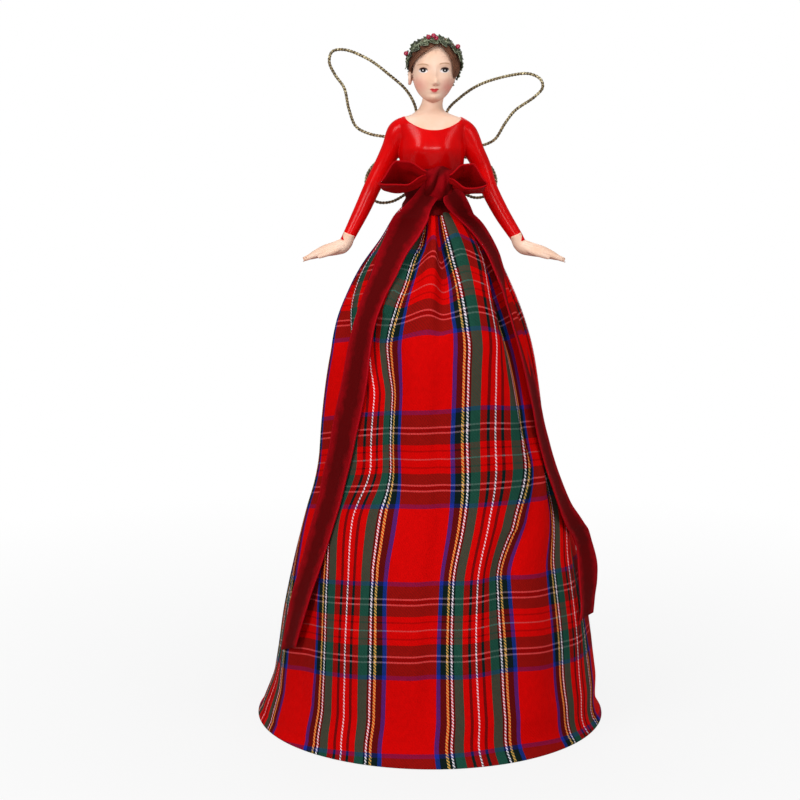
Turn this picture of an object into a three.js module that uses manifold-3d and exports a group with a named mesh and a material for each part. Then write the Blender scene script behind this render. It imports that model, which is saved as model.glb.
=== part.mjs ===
// Angel tree topper: a painted cast fairy on a hollow card cone under a gathered tartan skirt,
// with bendable wire wings and a velvet bow. Millimetres, +Z up, the front faces -Y.
// The origin is the centre of the hem on the surface that the topper stands on.
// Left and right are as seen from the front: left is -X.
import * as THREE from 'three';
import { mergeVertices } from 'three/addons/utils/BufferGeometryUtils.js';
import Module from 'manifold-3d';

const wasm = await Module();
wasm.setup();

// Main sizes
const hemRadius = 72.25;
const waistLevel = 212;
const waistSinkDepth = 2.7;
const bodiceBottom = waistLevel - waistSinkDepth;
const torsoHeight = 41.2;
const shoulderDrop = 3.3;
const shoulderLevel = bodiceBottom + torsoHeight - shoulderDrop;
const shoulderHalfWidth = 13.6;
const neckHeight = 2.8;
const chinLevel = bodiceBottom + torsoHeight + neckHeight;
const fitGap = 0.35;
const cutOverrunLength = 6;
const figureSides = 28;
const limbSides = 16;
const rodSides = 16;
const wireSides = 6;
const beadSides = 10;

// Cloth skirt: outer envelope as [share of the waist level, share of the hem radius]
const clothThickness = 1;
const clothWidth = 437;
const clothRepeatWidth = 57;
const foldCount = 13;
const foldColumns = 4;
const foldSlackShare = 0.62;
const foldLimitShare = 0.19;
const fillLimitShare = 0.1;
const foldFadeHeight = 12;
const foldHemFadeHeight = 30;
const foldGap = 0.9;

// Where the folds lie, in shares of half the cloth's width from the front: whole counts are ridges
const foldPlaceShares = [
  [-6, -1], [-2, -0.326], [-1.5, -0.248], [-1, -0.162], [-0.5, -0.086], [0, -0.005], [0.5, 0.039],
  [1, 0.117], [1.5, 0.188], [2, 0.256], [7, 1],
];
const skirtEnvelopeShares = [
  [0, 1], [0.019, 0.969], [0.047, 0.947], [0.118, 0.916], [0.198, 0.886], [0.292, 0.836],
  [0.358, 0.792], [0.425, 0.738], [0.472, 0.699], [0.528, 0.662], [0.58, 0.638], [0.642, 0.614],
  [0.722, 0.574], [0.783, 0.524], [0.858, 0.438], [0.92, 0.352], [0.962, 0.278], [0.986, 0.217],
  [1, 0.165],
];
const skirtRowShares = [0, 0.03, 0.15, 0.32, 0.45, 0.58, 0.7, 0.8, 0.89, 0.95, 0.985, 1];

// Where seven warp lines of the cloth run: angles from the front in degrees, row by row
const clothLineShares = [-0.81, -0.5, -0.19, 0.19, 0.5, 0.81, 1.19];
const clothLineAngles = [
  [0, -45, -30, -16, 1.3, 16, 30.5, 48],
  [0.19, -47, -32, -16.4, 1.6, 15.3, 29.4, 49],
  [0.33, -51, -34, -17.7, 2.9, 16.8, 30.8, 51],
  [0.435, -55, -36.4, -15.6, 6.9, 24, 42, 64],
  [0.54, -54, -32, -16.5, 8, 31.2, 50, 68],
  [0.685, -54, -30.1, -15.9, 10.7, 35.9, 55, 70],
  [0.78, -58, -36, -16.4, 13.8, 42, 58, 73],
  [0.87, -64, -43, -14.5, 15, 48.5, 64, 80],
  [1, -66, -45, -13, 16, 46, 66, 86],
];

// Card cone, its plug, the dowel and the hem hoop
const hemMarginWidth = 4.85;
const coneBottomRadius = hemRadius - hemMarginWidth;
const coneTopRadius = 9;
const coneThickness = 1.2;
const coneSides = 48;
const plugFlangeHeight = 3.6;
const plugDepth = 7;
const coneTopLevel = bodiceBottom - plugFlangeHeight - fitGap * 2;
const dowelRadius = 2.4;
const dowelInBodiceLength = 16.7;
const dowelBelowPlugLength = 5;
const dowelTopLevel = bodiceBottom + dowelInBodiceLength;
const dowelBottomLevel = coneTopLevel - plugDepth - dowelBelowPlugLength;
const hoopWireRadius = 1.1;
const hoopGap = 0.65;
const hoopRadius = coneBottomRadius + hoopGap + hoopWireRadius;

// Cast figure: torso stations as [share of torso height, half width, half depth] in shares
const torsoHalfDepth = 9.8;
const torsoForwardOffset = 1;
const neckRadius = 4.1;
const torsoShares = [
  [0, 0.63, 0.72], [0.1, 0.65, 0.75], [0.2, 0.69, 0.79], [0.34, 0.82, 0.89], [0.48, 0.93, 0.98],
  [0.6, 0.95, 1], [0.7, 0.94, 0.93], [0.79, 0.98, 0.82], [0.87, 1, 0.68], [0.925, 0.87, 0.56],
  [0.965, 0.6, 0.5], [1, 0.36, 0.44],
];
const necklineDropHeight = 4.4;
const necklineRiseHeight = 1.9;
const necklineTiltDegs = 13;
const necklineWidthShare = 1.3;
const necklineCurveShare = 1.7;

// Head stations as [share of head height, half width, half depth, forward] in shares
const headHeight = 23.2;
const headHalfWidth = 8.7;
const headHalfDepth = 9.8;
const headCentreX = 1.1;
const headShares = [
  [0, 0.25, 0.2, 0.46], [0.055, 0.5, 0.47, 0.33], [0.16, 0.76, 0.73, 0.16], [0.29, 0.92, 0.9, 0.05],
  [0.42, 0.99, 0.98, 0], [0.59, 1, 1, -0.03], [0.76, 0.94, 0.94, -0.06], [0.91, 0.72, 0.71, -0.06],
  [1, 0.4, 0.4, -0.06],
];
const earShares = { side: -1, height: 0.4, radius: 0.28, stretch: [0.6, 0.8, 1.25], room: [0.9, 1, 1.25] };
const noseShares = { height: 0.35, forward: 0.99, radius: 0.13, stretch: [1, 1.2, 1.5] };

// Hair, wreath and berries
const hairThickness = 1.5;
const hairBottomShare = 0.07;
const hairBackShare = 0.3;
const hairCrownShare = 0.6;
const hairlineShares = [
  [-1.35, -0.4], [-1.03, 0.1], [-1.0, 0.42], [-0.72, 0.66], [-0.2, 0.86], [0.08, 0.95],
  [0.36, 0.83], [0.74, 0.62], [0.9, 0.36], [0.92, 0.1], [1.35, -0.4],
];
const wreathHalfWidth = 11;
const wreathHalfLength = 12.6;
const wreathTiltDegs = 52;
const wreathTopHeight = 1;
const wreathVineRadius = 0.9;
const leafLength = 5.2;
const leafWidth = 2.9;
const leafThickness = 0.8;
const leafShares = [[-0.5, 0], [-0.2, 0.5], [0.25, 0.5], [0.5, 0], [0.25, -0.5], [-0.2, -0.5]];
const leafCount = 16;
const leafAimShares = { along: 0.8, across: 0.6, stand: 0.35 };
const wreathSteps = 36;
const vineSides = 3;
const berryRadius = 1.25;
const berryTurnDegs = [-7, 5, 62, -74, 17];
const berryLiftShares = [0.75, 1.1, 0.75, 0.75, 0.75];

// Sleeve stations as shares of the arm's reach, depth and drop and of the sleeve radius
const armReachLength = 34.6;
const cuffDropHeight = 48.4;
const sleeveRadius = 4.5;
const sleeveShares = {
  left: [
    [-0.25, 0, -0.06, 0.96], [-0.375, 0.01, -0.118, 1], [-0.457, 0.02, -0.256, 0.91],
    [-0.561, 0.035, -0.405, 0.82], [-0.673, 0.035, -0.562, 0.78], [-0.81, -0.01, -0.771, 0.71],
    [-0.965, -0.075, -0.99, 0.52],
  ],
  right: [
    [0.27, 0, -0.06, 0.96], [0.393, 0.01, -0.128, 1], [0.497, 0.02, -0.281, 0.91],
    [0.587, 0.035, -0.409, 0.82], [0.662, 0.035, -0.572, 0.78], [0.812, -0.01, -0.785, 0.71],
    [0.99, -0.075, -0.995, 0.52],
  ],
};

// Hand stations as shares of the hand's length (out, up, forward) and of its half width (high, deep)
const handLength = 18.9;
const handHalfWidth = 3.9;
const handSides = 12;
const handShares = [
  [0, 0, 0, 0.54, 0.54], [0.13, -0.13, 0, 0.74, 0.74], [0.35, -0.22, 0.02, 0.64, 1],
  [0.6, -0.31, 0.03, 0.44, 0.95], [0.82, -0.38, 0.04, 0.3, 0.77], [1, -0.44, 0.05, 0.12, 0.33],
];
const thumbShares = [
  [0.18, -0.17, 0.1, 0.3, 0.34], [0.36, -0.27, 0.2, 0.32, 0.32], [0.54, -0.36, 0.24, 0.27, 0.27],
  [0.66, -0.42, 0.24, 0.1, 0.12],
];

// Wire wings, as [x, z] in shares of the wing span and measured from the post's middle
const wireRadius = 0.7;
const wingSpanLength = 45;
const hookSpacingHeight = 2 * wireRadius + 2 * fitGap;
const hookCount = 8;
const postRadius = 0.9;
const postStandGap = 0.55;
const postX = 0.4;
const postY = torsoHalfDepth - torsoForwardOffset + postStandGap + wireRadius * 2 + fitGap + postRadius;
const stapleReachShare = 0.75;
const postTopHeight = 34.5;
const postTopLevel = bodiceBottom + postTopHeight;
const postBottomLevel = postTopLevel - hookSpacingHeight * hookCount - postRadius - wireRadius;
const wingForwardOffset = 2;
const wingExitLength = 5;
const wingShares = {
  wing_upper_left: { side: -1, steps: 64, levels: [0, 2], route: [
    [-0.17, 0.36], [-0.25, 0.5], [-0.375, 0.634], [-0.555, 0.768], [-0.777, 0.856], [-0.884, 0.838],
    [-0.911, 0.75], [-0.86, 0.634], [-0.78, 0.52], [-0.736, 0.326], [-0.674, 0.175], [-0.56, 0.112],
    [-0.42, 0.085],
  ] },
  wing_upper_right: { side: 1, steps: 64, levels: [1, 3], route: [
    [0.145, 0.31], [0.26, 0.432], [0.436, 0.548], [0.702, 0.628], [0.88, 0.643], [0.98, 0.592],
    [0.997, 0.521], [0.927, 0.44], [0.751, 0.316], [0.662, 0.2], [0.573, 0.06], [0.466, 0.008],
    [0.35, -0.005],
  ] },
  wing_lower_left: { side: -1, steps: 48, levels: [4, 6], route: [
    [-0.25, -0.05], [-0.42, -0.095], [-0.513, -0.166], [-0.575, -0.26], [-0.585, -0.36],
    [-0.54, -0.46], [-0.478, -0.505], [-0.37, -0.505], [-0.28, -0.467], [-0.2, -0.4],
  ] },
  wing_lower_right: { side: 1, steps: 48, levels: [5, 7], route: [
    [0.25, -0.09], [0.42, -0.13], [0.522, -0.17], [0.57, -0.24], [0.587, -0.33], [0.545, -0.42],
    [0.462, -0.459], [0.389, -0.463], [0.3, -0.43], [0.2, -0.38],
  ] },
};
const wingMidHeight = 25.7;
const wingMidLevel = bodiceBottom + wingMidHeight;
const hookDegs = [35, 95, 150, 205];
const hookStartShare = 0.6;
const wingEaseShare = 0.5;
const wingSides = 3;

// Velvet ribbon: sash, bow loops, knot and tails
const ribbonWidth = 14;
const ribbonThickness = 1;
const ribbonGap = 0.9;
const sashGap = 0.6;
const sashHeight = 6.4;
const sashThickness = 1.2;
const sashBottomLevel = waistLevel + sashGap;
const sashTopLevel = sashBottomLevel + sashHeight;
const knotHeight = 12.4;
const knotWidth = 11;
const knotDepth = 4.6;
const knotX = 2.9;
const knotShares = [[-1, 0.78], [-0.72, 0.95], [-0.3, 1], [0.3, 1], [0.72, 0.95], [1, 0.78]];
const bowStandGap = 1.1;
const bowRiseHeight = 9.4;
const bowY = -(torsoForwardOffset + torsoHalfDepth + knotDepth / 2 + bowStandGap);
const bowLevel = sashBottomLevel + bowRiseHeight;
const loopLengths = { left: 17.6, right: 13.2 };
const loopHalfDepth = 4.7;
const loopPinchShare = 0.4;
const loopTiltDegs = 52;
const loopYawDegs = 4;
const loopWidth = 13.4;

// Along a loop and back: how far out, how far to the front, and how wide, as shares
const loopShares = [
  [0, -0.4, 0.42], [0.12, -0.62, 0.5], [0.3, -0.9, 0.72], [0.55, -1.02, 0.96], [0.8, -0.92, 1],
  [0.95, -0.5, 1], [1, 0, 1], [0.94, 0.5, 1], [0.78, 0.88, 1], [0.52, 0.98, 0.94], [0.28, 0.84, 0.7],
  [0.12, 0.6, 0.5], [0, 0.4, 0.42],
];
const tailGap = 0.8;
const tailTopLevel = bowLevel - knotHeight / 2 - tailGap;
const tailShares = {
  left: [
    [0.984, -57, -4, 0.03, 0.02], [0.953, -52, -12.6, 0, 0], [0.92, -51.3, -22, 0, 0],
    [0.882, -50.5, -27, 0, 0], [0.84, -52, -32.6, 0, 0], [0.783, -52.6, -35.5, 0, 0],
    [0.708, -52.5, -35, 0, 0], [0.637, -55, -37, 0, 0], [0.566, -58, -40.3, 0, 0],
    [0.491, -59.5, -43, 0, 0], [0.425, -59.5, -44.6, 0, 0], [0.354, -60.3, -47, 0, 0],
    [0.283, -62.8, -50, 0, 0], [0.226, -64.5, -52.2, 0, 0], [0.17, -66, -54, 0, 0],
  ],
  right: [
    [0.986, 33, 72, 0.03, 0.03], [0.958, 45, 83, 0, 0], [0.925, 50, 82, 0, 0], [0.882, 49, 76, 0, 0],
    [0.84, 48, 72, 0, 0], [0.792, 51.5, 73, 0, 0], [0.731, 56, 75.5, 0, 0], [0.684, 57, 76, 0, 0],
    [0.632, 59.6, 78, 0, 0], [0.585, 64.5, 82, 0, 0], [0.528, 71, 88, 0, 0], [0.472, 80, 96, 0.02, 0.02],
    [0.415, 87, 101.2, 0.14, 0.16], [0.363, 84.3, 97.4, 0.21, 0.31], [0.311, 82.5, 93.4, 0.11, 0.58],
    [0.264, 76.6, 87.1, 0.05, 0.52], [0.212, 70, 81.6, 0.03, 0.32],
  ],
};
const tailTopShares = { left: [[-0.54, -0.95], [0.02, -1.06]], right: [[0.26, -1.05], [0.66, -0.88]] };

const radians = THREE.MathUtils.degToRad;
const clamp = THREE.MathUtils.clamp;

// Solids from rings, and joins and cuts

function orientOutward(geometry) {
  const p = geometry.getAttribute('position');
  const index = geometry.getIndex().array;
  const [a, b, c] = [new THREE.Vector3(), new THREE.Vector3(), new THREE.Vector3()];
  let volume = 0;
  for (let i = 0; i < index.length; i += 3) {
    a.fromBufferAttribute(p, index[i]);
    b.fromBufferAttribute(p, index[i + 1]);
    c.fromBufferAttribute(p, index[i + 2]);
    volume += a.dot(b.cross(c));
  }
  for (let i = 0; volume < 0 && i < index.length; i += 3) {
    [index[i], index[i + 1]] = [index[i + 1], index[i]];
  }
  return geometry;
}

function fanCap(start, n, index, flip) {
  for (let j = 1; j + 1 < n; j++) {
    if (flip) index.push(start, start + j + 1, start + j);
    else index.push(start, start + j, start + j + 1);
  }
}

// A thin strip's ring runs out along one face and back along the other
function stripCap(start, n, index, flip) {
  for (let j = 0; j + 1 < n / 2; j++) {
    const [a, b, c, d] = [start + j, start + j + 1, start + n - 2 - j, start + n - 1 - j];
    if (flip) index.push(a, c, b, a, d, c);
    else index.push(a, b, c, a, c, d);
  }
}

// Both faces of a thin strip split along the same diagonals, which keeps its wall even
function loft(rings, cap = fanCap, closed = false) {
  const n = rings[0].length;
  const index = [];
  const spans = closed ? rings.length : rings.length - 1;
  for (let i = 0; i < spans; i++) {
    const next = (i + 1) % rings.length;
    for (let j = 0; j < n; j++) {
      const [a, b] = [i * n + j, i * n + (j + 1) % n];
      const [c, d] = [next * n + j, next * n + (j + 1) % n];
      if (cap === stripCap && j >= n / 2) index.push(a, b, c, b, d, c);
      else index.push(a, b, d, a, d, c);
    }
  }
  if (!closed) {
    cap(0, n, index, true);
    cap((rings.length - 1) * n, n, index, false);
  }
  const geometry = new THREE.BufferGeometry();
  const positions = rings.flat().flatMap((p) => p.toArray());
  geometry.setAttribute('position', new THREE.Float32BufferAttribute(positions, 3));
  geometry.setIndex(index);
  return orientOutward(geometry);
}

function solidOf(geometry) {
  const plain = geometry.clone();
  plain.deleteAttribute('normal');
  plain.deleteAttribute('uv');
  const merged = mergeVertices(plain);
  const vertProperties = new Float32Array(merged.getAttribute('position').array);
  const triVerts = new Uint32Array(merged.getIndex().array);
  return new wasm.Manifold(new wasm.Mesh({ numProp: 3, vertProperties, triVerts }));
}

function geometryOf(solid) {
  const mesh = solid.getMesh();
  const geometry = new THREE.BufferGeometry();
  geometry.setAttribute('position', new THREE.BufferAttribute(mesh.vertProperties, 3));
  geometry.setIndex(new THREE.BufferAttribute(mesh.triVerts, 1));
  return geometry;
}

function ellipseRing(x, y, z, halfWidth, halfDepth, sides) {
  return Array.from({ length: sides }, (_, j) => {
    const turn = (j / sides) * Math.PI * 2;
    return new THREE.Vector3(x + halfWidth * Math.cos(turn), y + halfDepth * Math.sin(turn), z);
  });
}

// Rings across a route whose sections are ellipses; the depth stays near the Y direction
function limb(stations, sides) {
  const rings = stations.map((s, i) => {
    const before = stations[Math.max(i - 1, 0)].at;
    const after = stations[Math.min(i + 1, stations.length - 1)].at;
    const along = after.clone().sub(before).normalize();
    const up = new THREE.Vector3().crossVectors(along, new THREE.Vector3(0, 1, 0)).normalize();
    const side = new THREE.Vector3().crossVectors(up, along).normalize();
    return Array.from({ length: sides }, (_, j) => {
      const turn = (j / sides) * Math.PI * 2;
      const rim = s.at.clone().addScaledVector(up, s.high * Math.sin(turn));
      return rim.addScaledVector(side, s.deep * Math.cos(turn));
    });
  });
  return loft(rings);
}

function rodBetween(from, to, radius, sides) {
  const rod = new THREE.CylinderGeometry(radius, radius, from.distanceTo(to), sides);
  const along = to.clone().sub(from).normalize();
  rod.applyQuaternion(new THREE.Quaternion().setFromUnitVectors(new THREE.Vector3(0, 1, 0), along));
  const middle = from.clone().add(to).divideScalar(2);
  return rod.translate(middle.x, middle.y, middle.z);
}

function bead(radius, at = new THREE.Vector3()) {
  return new THREE.SphereGeometry(radius, beadSides, beadSides - 2).translate(at.x, at.y, at.z);
}

function part(name, geometry, color, roughness, metalness = 0) {
  const material = new THREE.MeshStandardMaterial({ color, roughness, metalness });
  const mesh = new THREE.Mesh(geometry, material);
  mesh.name = name;
  return mesh;
}

// Skirt and ribbon surface

function readShares(table, share) {
  let i = 1;
  while (i < table.length - 1 && table[i][0] < share) i++;
  const [low, high] = [table[i - 1], table[i]];
  const mix = clamp((share - low[0]) / (high[0] - low[0]), 0, 1);
  return low.map((value, k) => value + (high[k] - value) * mix);
}

function skirtRadius(z) {
  return readShares(skirtEnvelopeShares, z / waistLevel)[1] * hemRadius;
}

// The cloth's angle from the front, where repeats counts tartan repeats from the front line
function clothAngle(repeats, z) {
  const halfWidth = clothWidth / clothRepeatWidth / 2;
  const angles = readShares(clothLineAngles, z / waistLevel).slice(1);
  const lines = [-halfWidth, ...clothLineShares, halfWidth];
  const turns = [-180, ...angles, 180];
  let i = 1;
  while (i < lines.length - 1 && lines[i] < repeats) i++;
  const mix = (repeats - lines[i - 1]) / (lines[i] - lines[i - 1]);
  return radians(turns[i - 1] + (turns[i] - turns[i - 1]) * mix);
}

// How far a fold draws the cloth in, from how much narrower the figure is there than the cloth
function foldDepth(repeats, z) {
  const width = clothWidth / clothRepeatWidth;
  const step = width / foldCount / 2;
  const radius = skirtRadius(z);
  const low = clothAngle(Math.max(repeats - step, -width / 2), z);
  const high = clothAngle(Math.min(repeats + step, width / 2), z);
  const span = Math.min(repeats + step, width / 2) - Math.max(repeats - step, -width / 2);
  const fill = clamp(((high - low) * radius) / (span * clothRepeatWidth), 0, 1);
  const wave = (clothWidth / foldCount) * fill;
  const room = Math.max(radius - clothThickness - coneRadius(z) - foldGap, 0) / 2;
  const limit = Math.min(foldLimitShare * radius * clamp((waistLevel - z) / foldFadeHeight, 0, 1), room);
  const slack = Math.max(1 / Math.max(fill, fillLimitShare) - 1, 0);
  const depth = Math.min(foldSlackShare * (wave / Math.PI) * Math.sqrt(slack), limit);
  return depth * clamp(z / foldHemFadeHeight, 0, 1);
}

function skirtPoint(fold, z, inset) {
  const repeats = readShares(foldPlaceShares, fold)[1] * (clothWidth / clothRepeatWidth / 2);
  const sunk = foldDepth(repeats, z) * (1 - Math.cos(Math.PI * 2 * fold));
  const radius = skirtRadius(z) - sunk - inset;
  const angle = clothAngle(repeats, z);
  return new THREE.Vector3(radius * Math.sin(angle), -radius * Math.cos(angle), z);
}

function skirt() {
  const rings = Array.from({ length: foldCount * foldColumns }, (_, i) => {
    const fold = foldPlaceShares[0][0] + i / foldColumns;
    const outside = skirtRowShares.map((share) => skirtPoint(fold, share * waistLevel, 0));
    const inside = skirtRowShares.map((share) => skirtPoint(fold, share * waistLevel, clothThickness));
    return [...outside, ...inside.reverse()];
  });
  return part('skirt', loft(rings, stripCap, true), 0xb51018, 0.85);
}

// Cone, plug, dowel and hoop

function coneRadius(z) {
  return coneBottomRadius + ((coneTopRadius - coneBottomRadius) * z) / coneTopLevel;
}

// A turned piece from [radius, level] pairs
function latheOf(pairs, sides) {
  const profile = pairs.map(([radius, level]) => new THREE.Vector2(radius, level));
  return new THREE.LatheGeometry(profile, sides).rotateX(Math.PI / 2);
}

function coneFormer() {
  const shell = latheOf([
    [coneBottomRadius, 0], [coneTopRadius, coneTopLevel], [coneTopRadius - coneThickness, coneTopLevel],
    [coneBottomRadius - coneThickness, 0], [coneBottomRadius, 0],
  ], coneSides);
  return part('cone_former', shell, 0xc9b68f, 0.9);
}

function conePlug() {
  const seat = coneTopLevel + fitGap;
  const plugRadius = coneTopRadius - coneThickness - fitGap;
  const bottom = coneTopLevel - plugDepth;
  const bore = dowelRadius + fitGap;
  const flangeTop = seat + plugFlangeHeight;
  const plug = latheOf([
    [bore, bottom], [plugRadius, bottom], [plugRadius, seat], [coneTopRadius, seat],
    [coneTopRadius, flangeTop], [bore, flangeTop], [bore, bottom],
  ], coneSides / 2);
  return part('cone_plug', plug, 0xe8e2d4, 0.6);
}

function dowel() {
  const [bottom, top] = [new THREE.Vector3(0, 0, dowelBottomLevel), new THREE.Vector3(0, 0, dowelTopLevel)];
  return part('torso_dowel', rodBetween(bottom, top, dowelRadius, rodSides), 0xd8b98a, 0.75);
}

function hemHoop() {
  const hoop = new THREE.TorusGeometry(hoopRadius, hoopWireRadius, wireSides, coneSides);
  return part('hem_hoop', hoop.translate(0, 0, hoopWireRadius), 0xb8b8b8, 0.4, 0.8);
}

// Cast figure

function torsoSolid(grow) {
  const rings = torsoShares.map(([up, wide, deep]) => ellipseRing(
    headCentreX * up, -torsoForwardOffset, bodiceBottom + torsoHeight * up,
    shoulderHalfWidth * wide + grow, torsoHalfDepth * deep + grow, figureSides,
  ));
  return solidOf(loft(rings));
}

// Everything above the neckline, as a block to cut with: the curve dips in front and rises at the back
function aboveNeckline(raise) {
  const low = shoulderLevel - necklineDropHeight + necklineRiseHeight + raise;
  const half = shoulderHalfWidth * necklineWidthShare;
  const rise = necklineDropHeight * necklineCurveShare;
  const top = torsoHeight + cutOverrunLength;
  const curve = new THREE.Shape();
  curve.moveTo(-half, rise);
  curve.quadraticCurveTo(0, -rise, half, rise);
  curve.lineTo(half, top);
  curve.lineTo(-half, top);
  curve.closePath();
  const depth = torsoHalfDepth * 4;
  const block = new THREE.ExtrudeGeometry(curve, { depth, bevelEnabled: false, curveSegments: limbSides });
  block.translate(0, 0, -depth / 2).rotateX(Math.PI / 2 + radians(necklineTiltDegs));
  return solidOf(block.translate(headCentreX, 0, low));
}

function headStations(grow) {
  return headShares.map(([up, wide, deep, forward], i) => {
    const ends = i === 0 ? -grow : i === headShares.length - 1 ? grow : 0;
    return ellipseRing(
      headCentreX, -forward * headHalfDepth, headLevel(up) + ends,
      headHalfWidth * wide + grow, headHalfDepth * deep + grow, figureSides,
    );
  });
}

function headSolid(grow) {
  const skull = solidOf(loft(headStations(grow)));
  const neckBottomLevel = bodiceBottom + torsoHeight - neckRadius;
  const neckBottom = new THREE.Vector3(headCentreX, -torsoForwardOffset / 2, neckBottomLevel);
  const neckTop = new THREE.Vector3(headCentreX, 0, chinLevel + headHalfWidth / 2);
  return skull.add(solidOf(rodBetween(neckBottom, neckTop, neckRadius + grow, limbSides)));
}

function headLevel(share) {
  return chinLevel + headHeight * share;
}

function earPlace() {
  return [headCentreX + headHalfWidth * earShares.side, 0, headLevel(earShares.height)];
}

function earAndNose() {
  const ear = bead(headHalfWidth * earShares.radius).scale(...earShares.stretch);
  ear.translate(...earPlace());
  const nose = bead(headHalfWidth * noseShares.radius).scale(...noseShares.stretch);
  nose.translate(headCentreX, -headHalfDepth * noseShares.forward, headLevel(noseShares.height));
  return solidOf(ear).add(solidOf(nose));
}

function headCasting() {
  const chest = torsoSolid(0).intersect(aboveNeckline(fitGap));
  return part('head', geometryOf(headSolid(0).add(earAndNose()).add(chest)), 0xf3cdb0, 0.45);
}

function bodice() {
  const bottom = new THREE.Vector3(0, 0, bodiceBottom - cutOverrunLength);
  const top = new THREE.Vector3(0, 0, dowelTopLevel + fitGap);
  const socket = solidOf(rodBetween(bottom, top, dowelRadius + fitGap, rodSides));
  const body = torsoSolid(0).subtract(aboveNeckline(0)).subtract(socket).subtract(stapleSolid(fitGap));
  return part('bodice', geometryOf(body), 0xc90a0a, 0.22);
}

function armPoint([x, y, z]) {
  return new THREE.Vector3(x * armReachLength, y * armReachLength, shoulderLevel + z * cuffDropHeight);
}

function sleeve(side) {
  const stations = sleeveShares[side].map((station) => {
    const radius = station.at(-1) * sleeveRadius;
    return { at: armPoint(station), high: radius, deep: radius };
  });
  const arm = solidOf(limb(stations, limbSides)).subtract(torsoSolid(fitGap));
  return part('sleeve_' + side, geometryOf(arm), 0xc90a0a, 0.22);
}

// A hand lies palm down with its fingers together and the thumb towards the skirt
function hand(side) {
  const [elbow, cuff] = sleeveShares[side].slice(-2).map(armPoint);
  const turn = Math.sign(cuff.x);
  const wrist = cuff.clone().add(cuff.clone().sub(elbow).setLength(fitGap));
  const stationsOf = (shares) => shares.map(([out, up, forward, high, deep]) => ({
    at: new THREE.Vector3(turn * out, -forward, up).multiplyScalar(handLength).add(wrist),
    high: high * handHalfWidth, deep: deep * handHalfWidth,
  }));
  const palm = solidOf(limb(stationsOf(handShares), handSides));
  const thumb = solidOf(limb(stationsOf(thumbShares), handSides));
  const room = [elbow, wrist].map((at) => ({ at, high: neckRadius, deep: neckRadius }));
  const whole = palm.add(thumb).subtract(solidOf(limb(room, limbSides)));
  return part('hand_' + side, geometryOf(whole), 0xf3cdb0, 0.45);
}

// Hair and wreath

function hairOuter(grow) {
  const thick = hairThickness + grow;
  const stations = headShares.filter(([up]) => up > hairBottomShare);
  const rings = stations.map(([up, wide, deep, forward]) => ellipseRing(
    headCentreX, (hairThickness - forward * headHalfDepth) * hairBackShare, headLevel(up),
    headHalfWidth * wide + thick, headHalfDepth * deep + thick, figureSides,
  ));
  const crown = headShares.at(-1);
  const top = headLevel(1) + thick;
  const [crownWidth, crownDepth] = [headHalfWidth * crown[1], headHalfDepth * crown[2]];
  rings.push(ellipseRing(
    headCentreX, hairThickness * hairBackShare, top,
    crownWidth * hairCrownShare, crownDepth * hairCrownShare, figureSides,
  ));
  return solidOf(loft(rings));
}

function hair() {
  const corners = hairlineShares.map(([x, up]) => new THREE.Vector2(x * headHalfWidth, up * headHeight));
  const line = new THREE.Shape(corners);
  const face = new THREE.ExtrudeGeometry(line, { depth: headHalfDepth * 2, bevelEnabled: false });
  face.rotateX(Math.PI / 2).translate(headCentreX, -hairThickness, chinLevel);
  const shell = hairOuter(0).subtract(headSolid(fitGap)).subtract(solidOf(face)).subtract(hairEarRoom());
  return part('hair', geometryOf(largestBody(shell)), 0x4a2a20, 0.6);
}

function hairEarRoom() {
  const room = bead(headHalfWidth * earShares.radius + fitGap).scale(...earShares.room);
  return solidOf(room.translate(...earPlace()));
}

function largestBody(solid) {
  return solid.decompose().sort((a, b) => b.volume() - a.volume())[0];
}

// The wreath's ring is tilted: turn 0 is above the forehead and half a turn is at the nape
function wreathPoint(turn, lift) {
  const flatY = -(wreathHalfLength + lift) * Math.cos(turn);
  const tilt = radians(wreathTiltDegs);
  const centre = headLevel(1) + wreathTopHeight - wreathHalfLength * Math.sin(tilt);
  return new THREE.Vector3(
    headCentreX + (wreathHalfWidth + lift) * Math.sin(turn), hairThickness + flatY * Math.cos(tilt),
    centre - flatY * Math.sin(tilt),
  );
}

function leaf(turn, sideways) {
  const outline = new THREE.Shape();
  outline.setFromPoints(leafShares.map(([x, y]) => new THREE.Vector2(x * leafLength, y * leafWidth)));
  outline.closePath();
  const blade = new THREE.ExtrudeGeometry(outline, { depth: leafThickness, bevelEnabled: false });
  const step = Math.PI / wreathSteps;
  const along = wreathPoint(turn + step, 0).sub(wreathPoint(turn - step, 0)).normalize();
  const out = wreathPoint(turn, 1).sub(wreathPoint(turn, 0)).normalize();
  const across = new THREE.Vector3().crossVectors(out, along).normalize();
  const aim = along.clone().multiplyScalar(leafAimShares.along);
  aim.addScaledVector(across, sideways * leafAimShares.across).normalize();
  const edge = new THREE.Vector3().crossVectors(out, aim).normalize();
  const frame = new THREE.Matrix4().makeBasis(aim, edge, out);
  const stand = sideways * leafWidth * leafAimShares.stand;
  frame.setPosition(wreathPoint(turn, 0).addScaledVector(across, stand));
  return solidOf(blade.applyMatrix4(frame));
}

function berryPlaces() {
  return berryTurnDegs.map((turn, i) => wreathPoint(radians(turn), berryRadius * berryLiftShares[i]));
}

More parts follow.
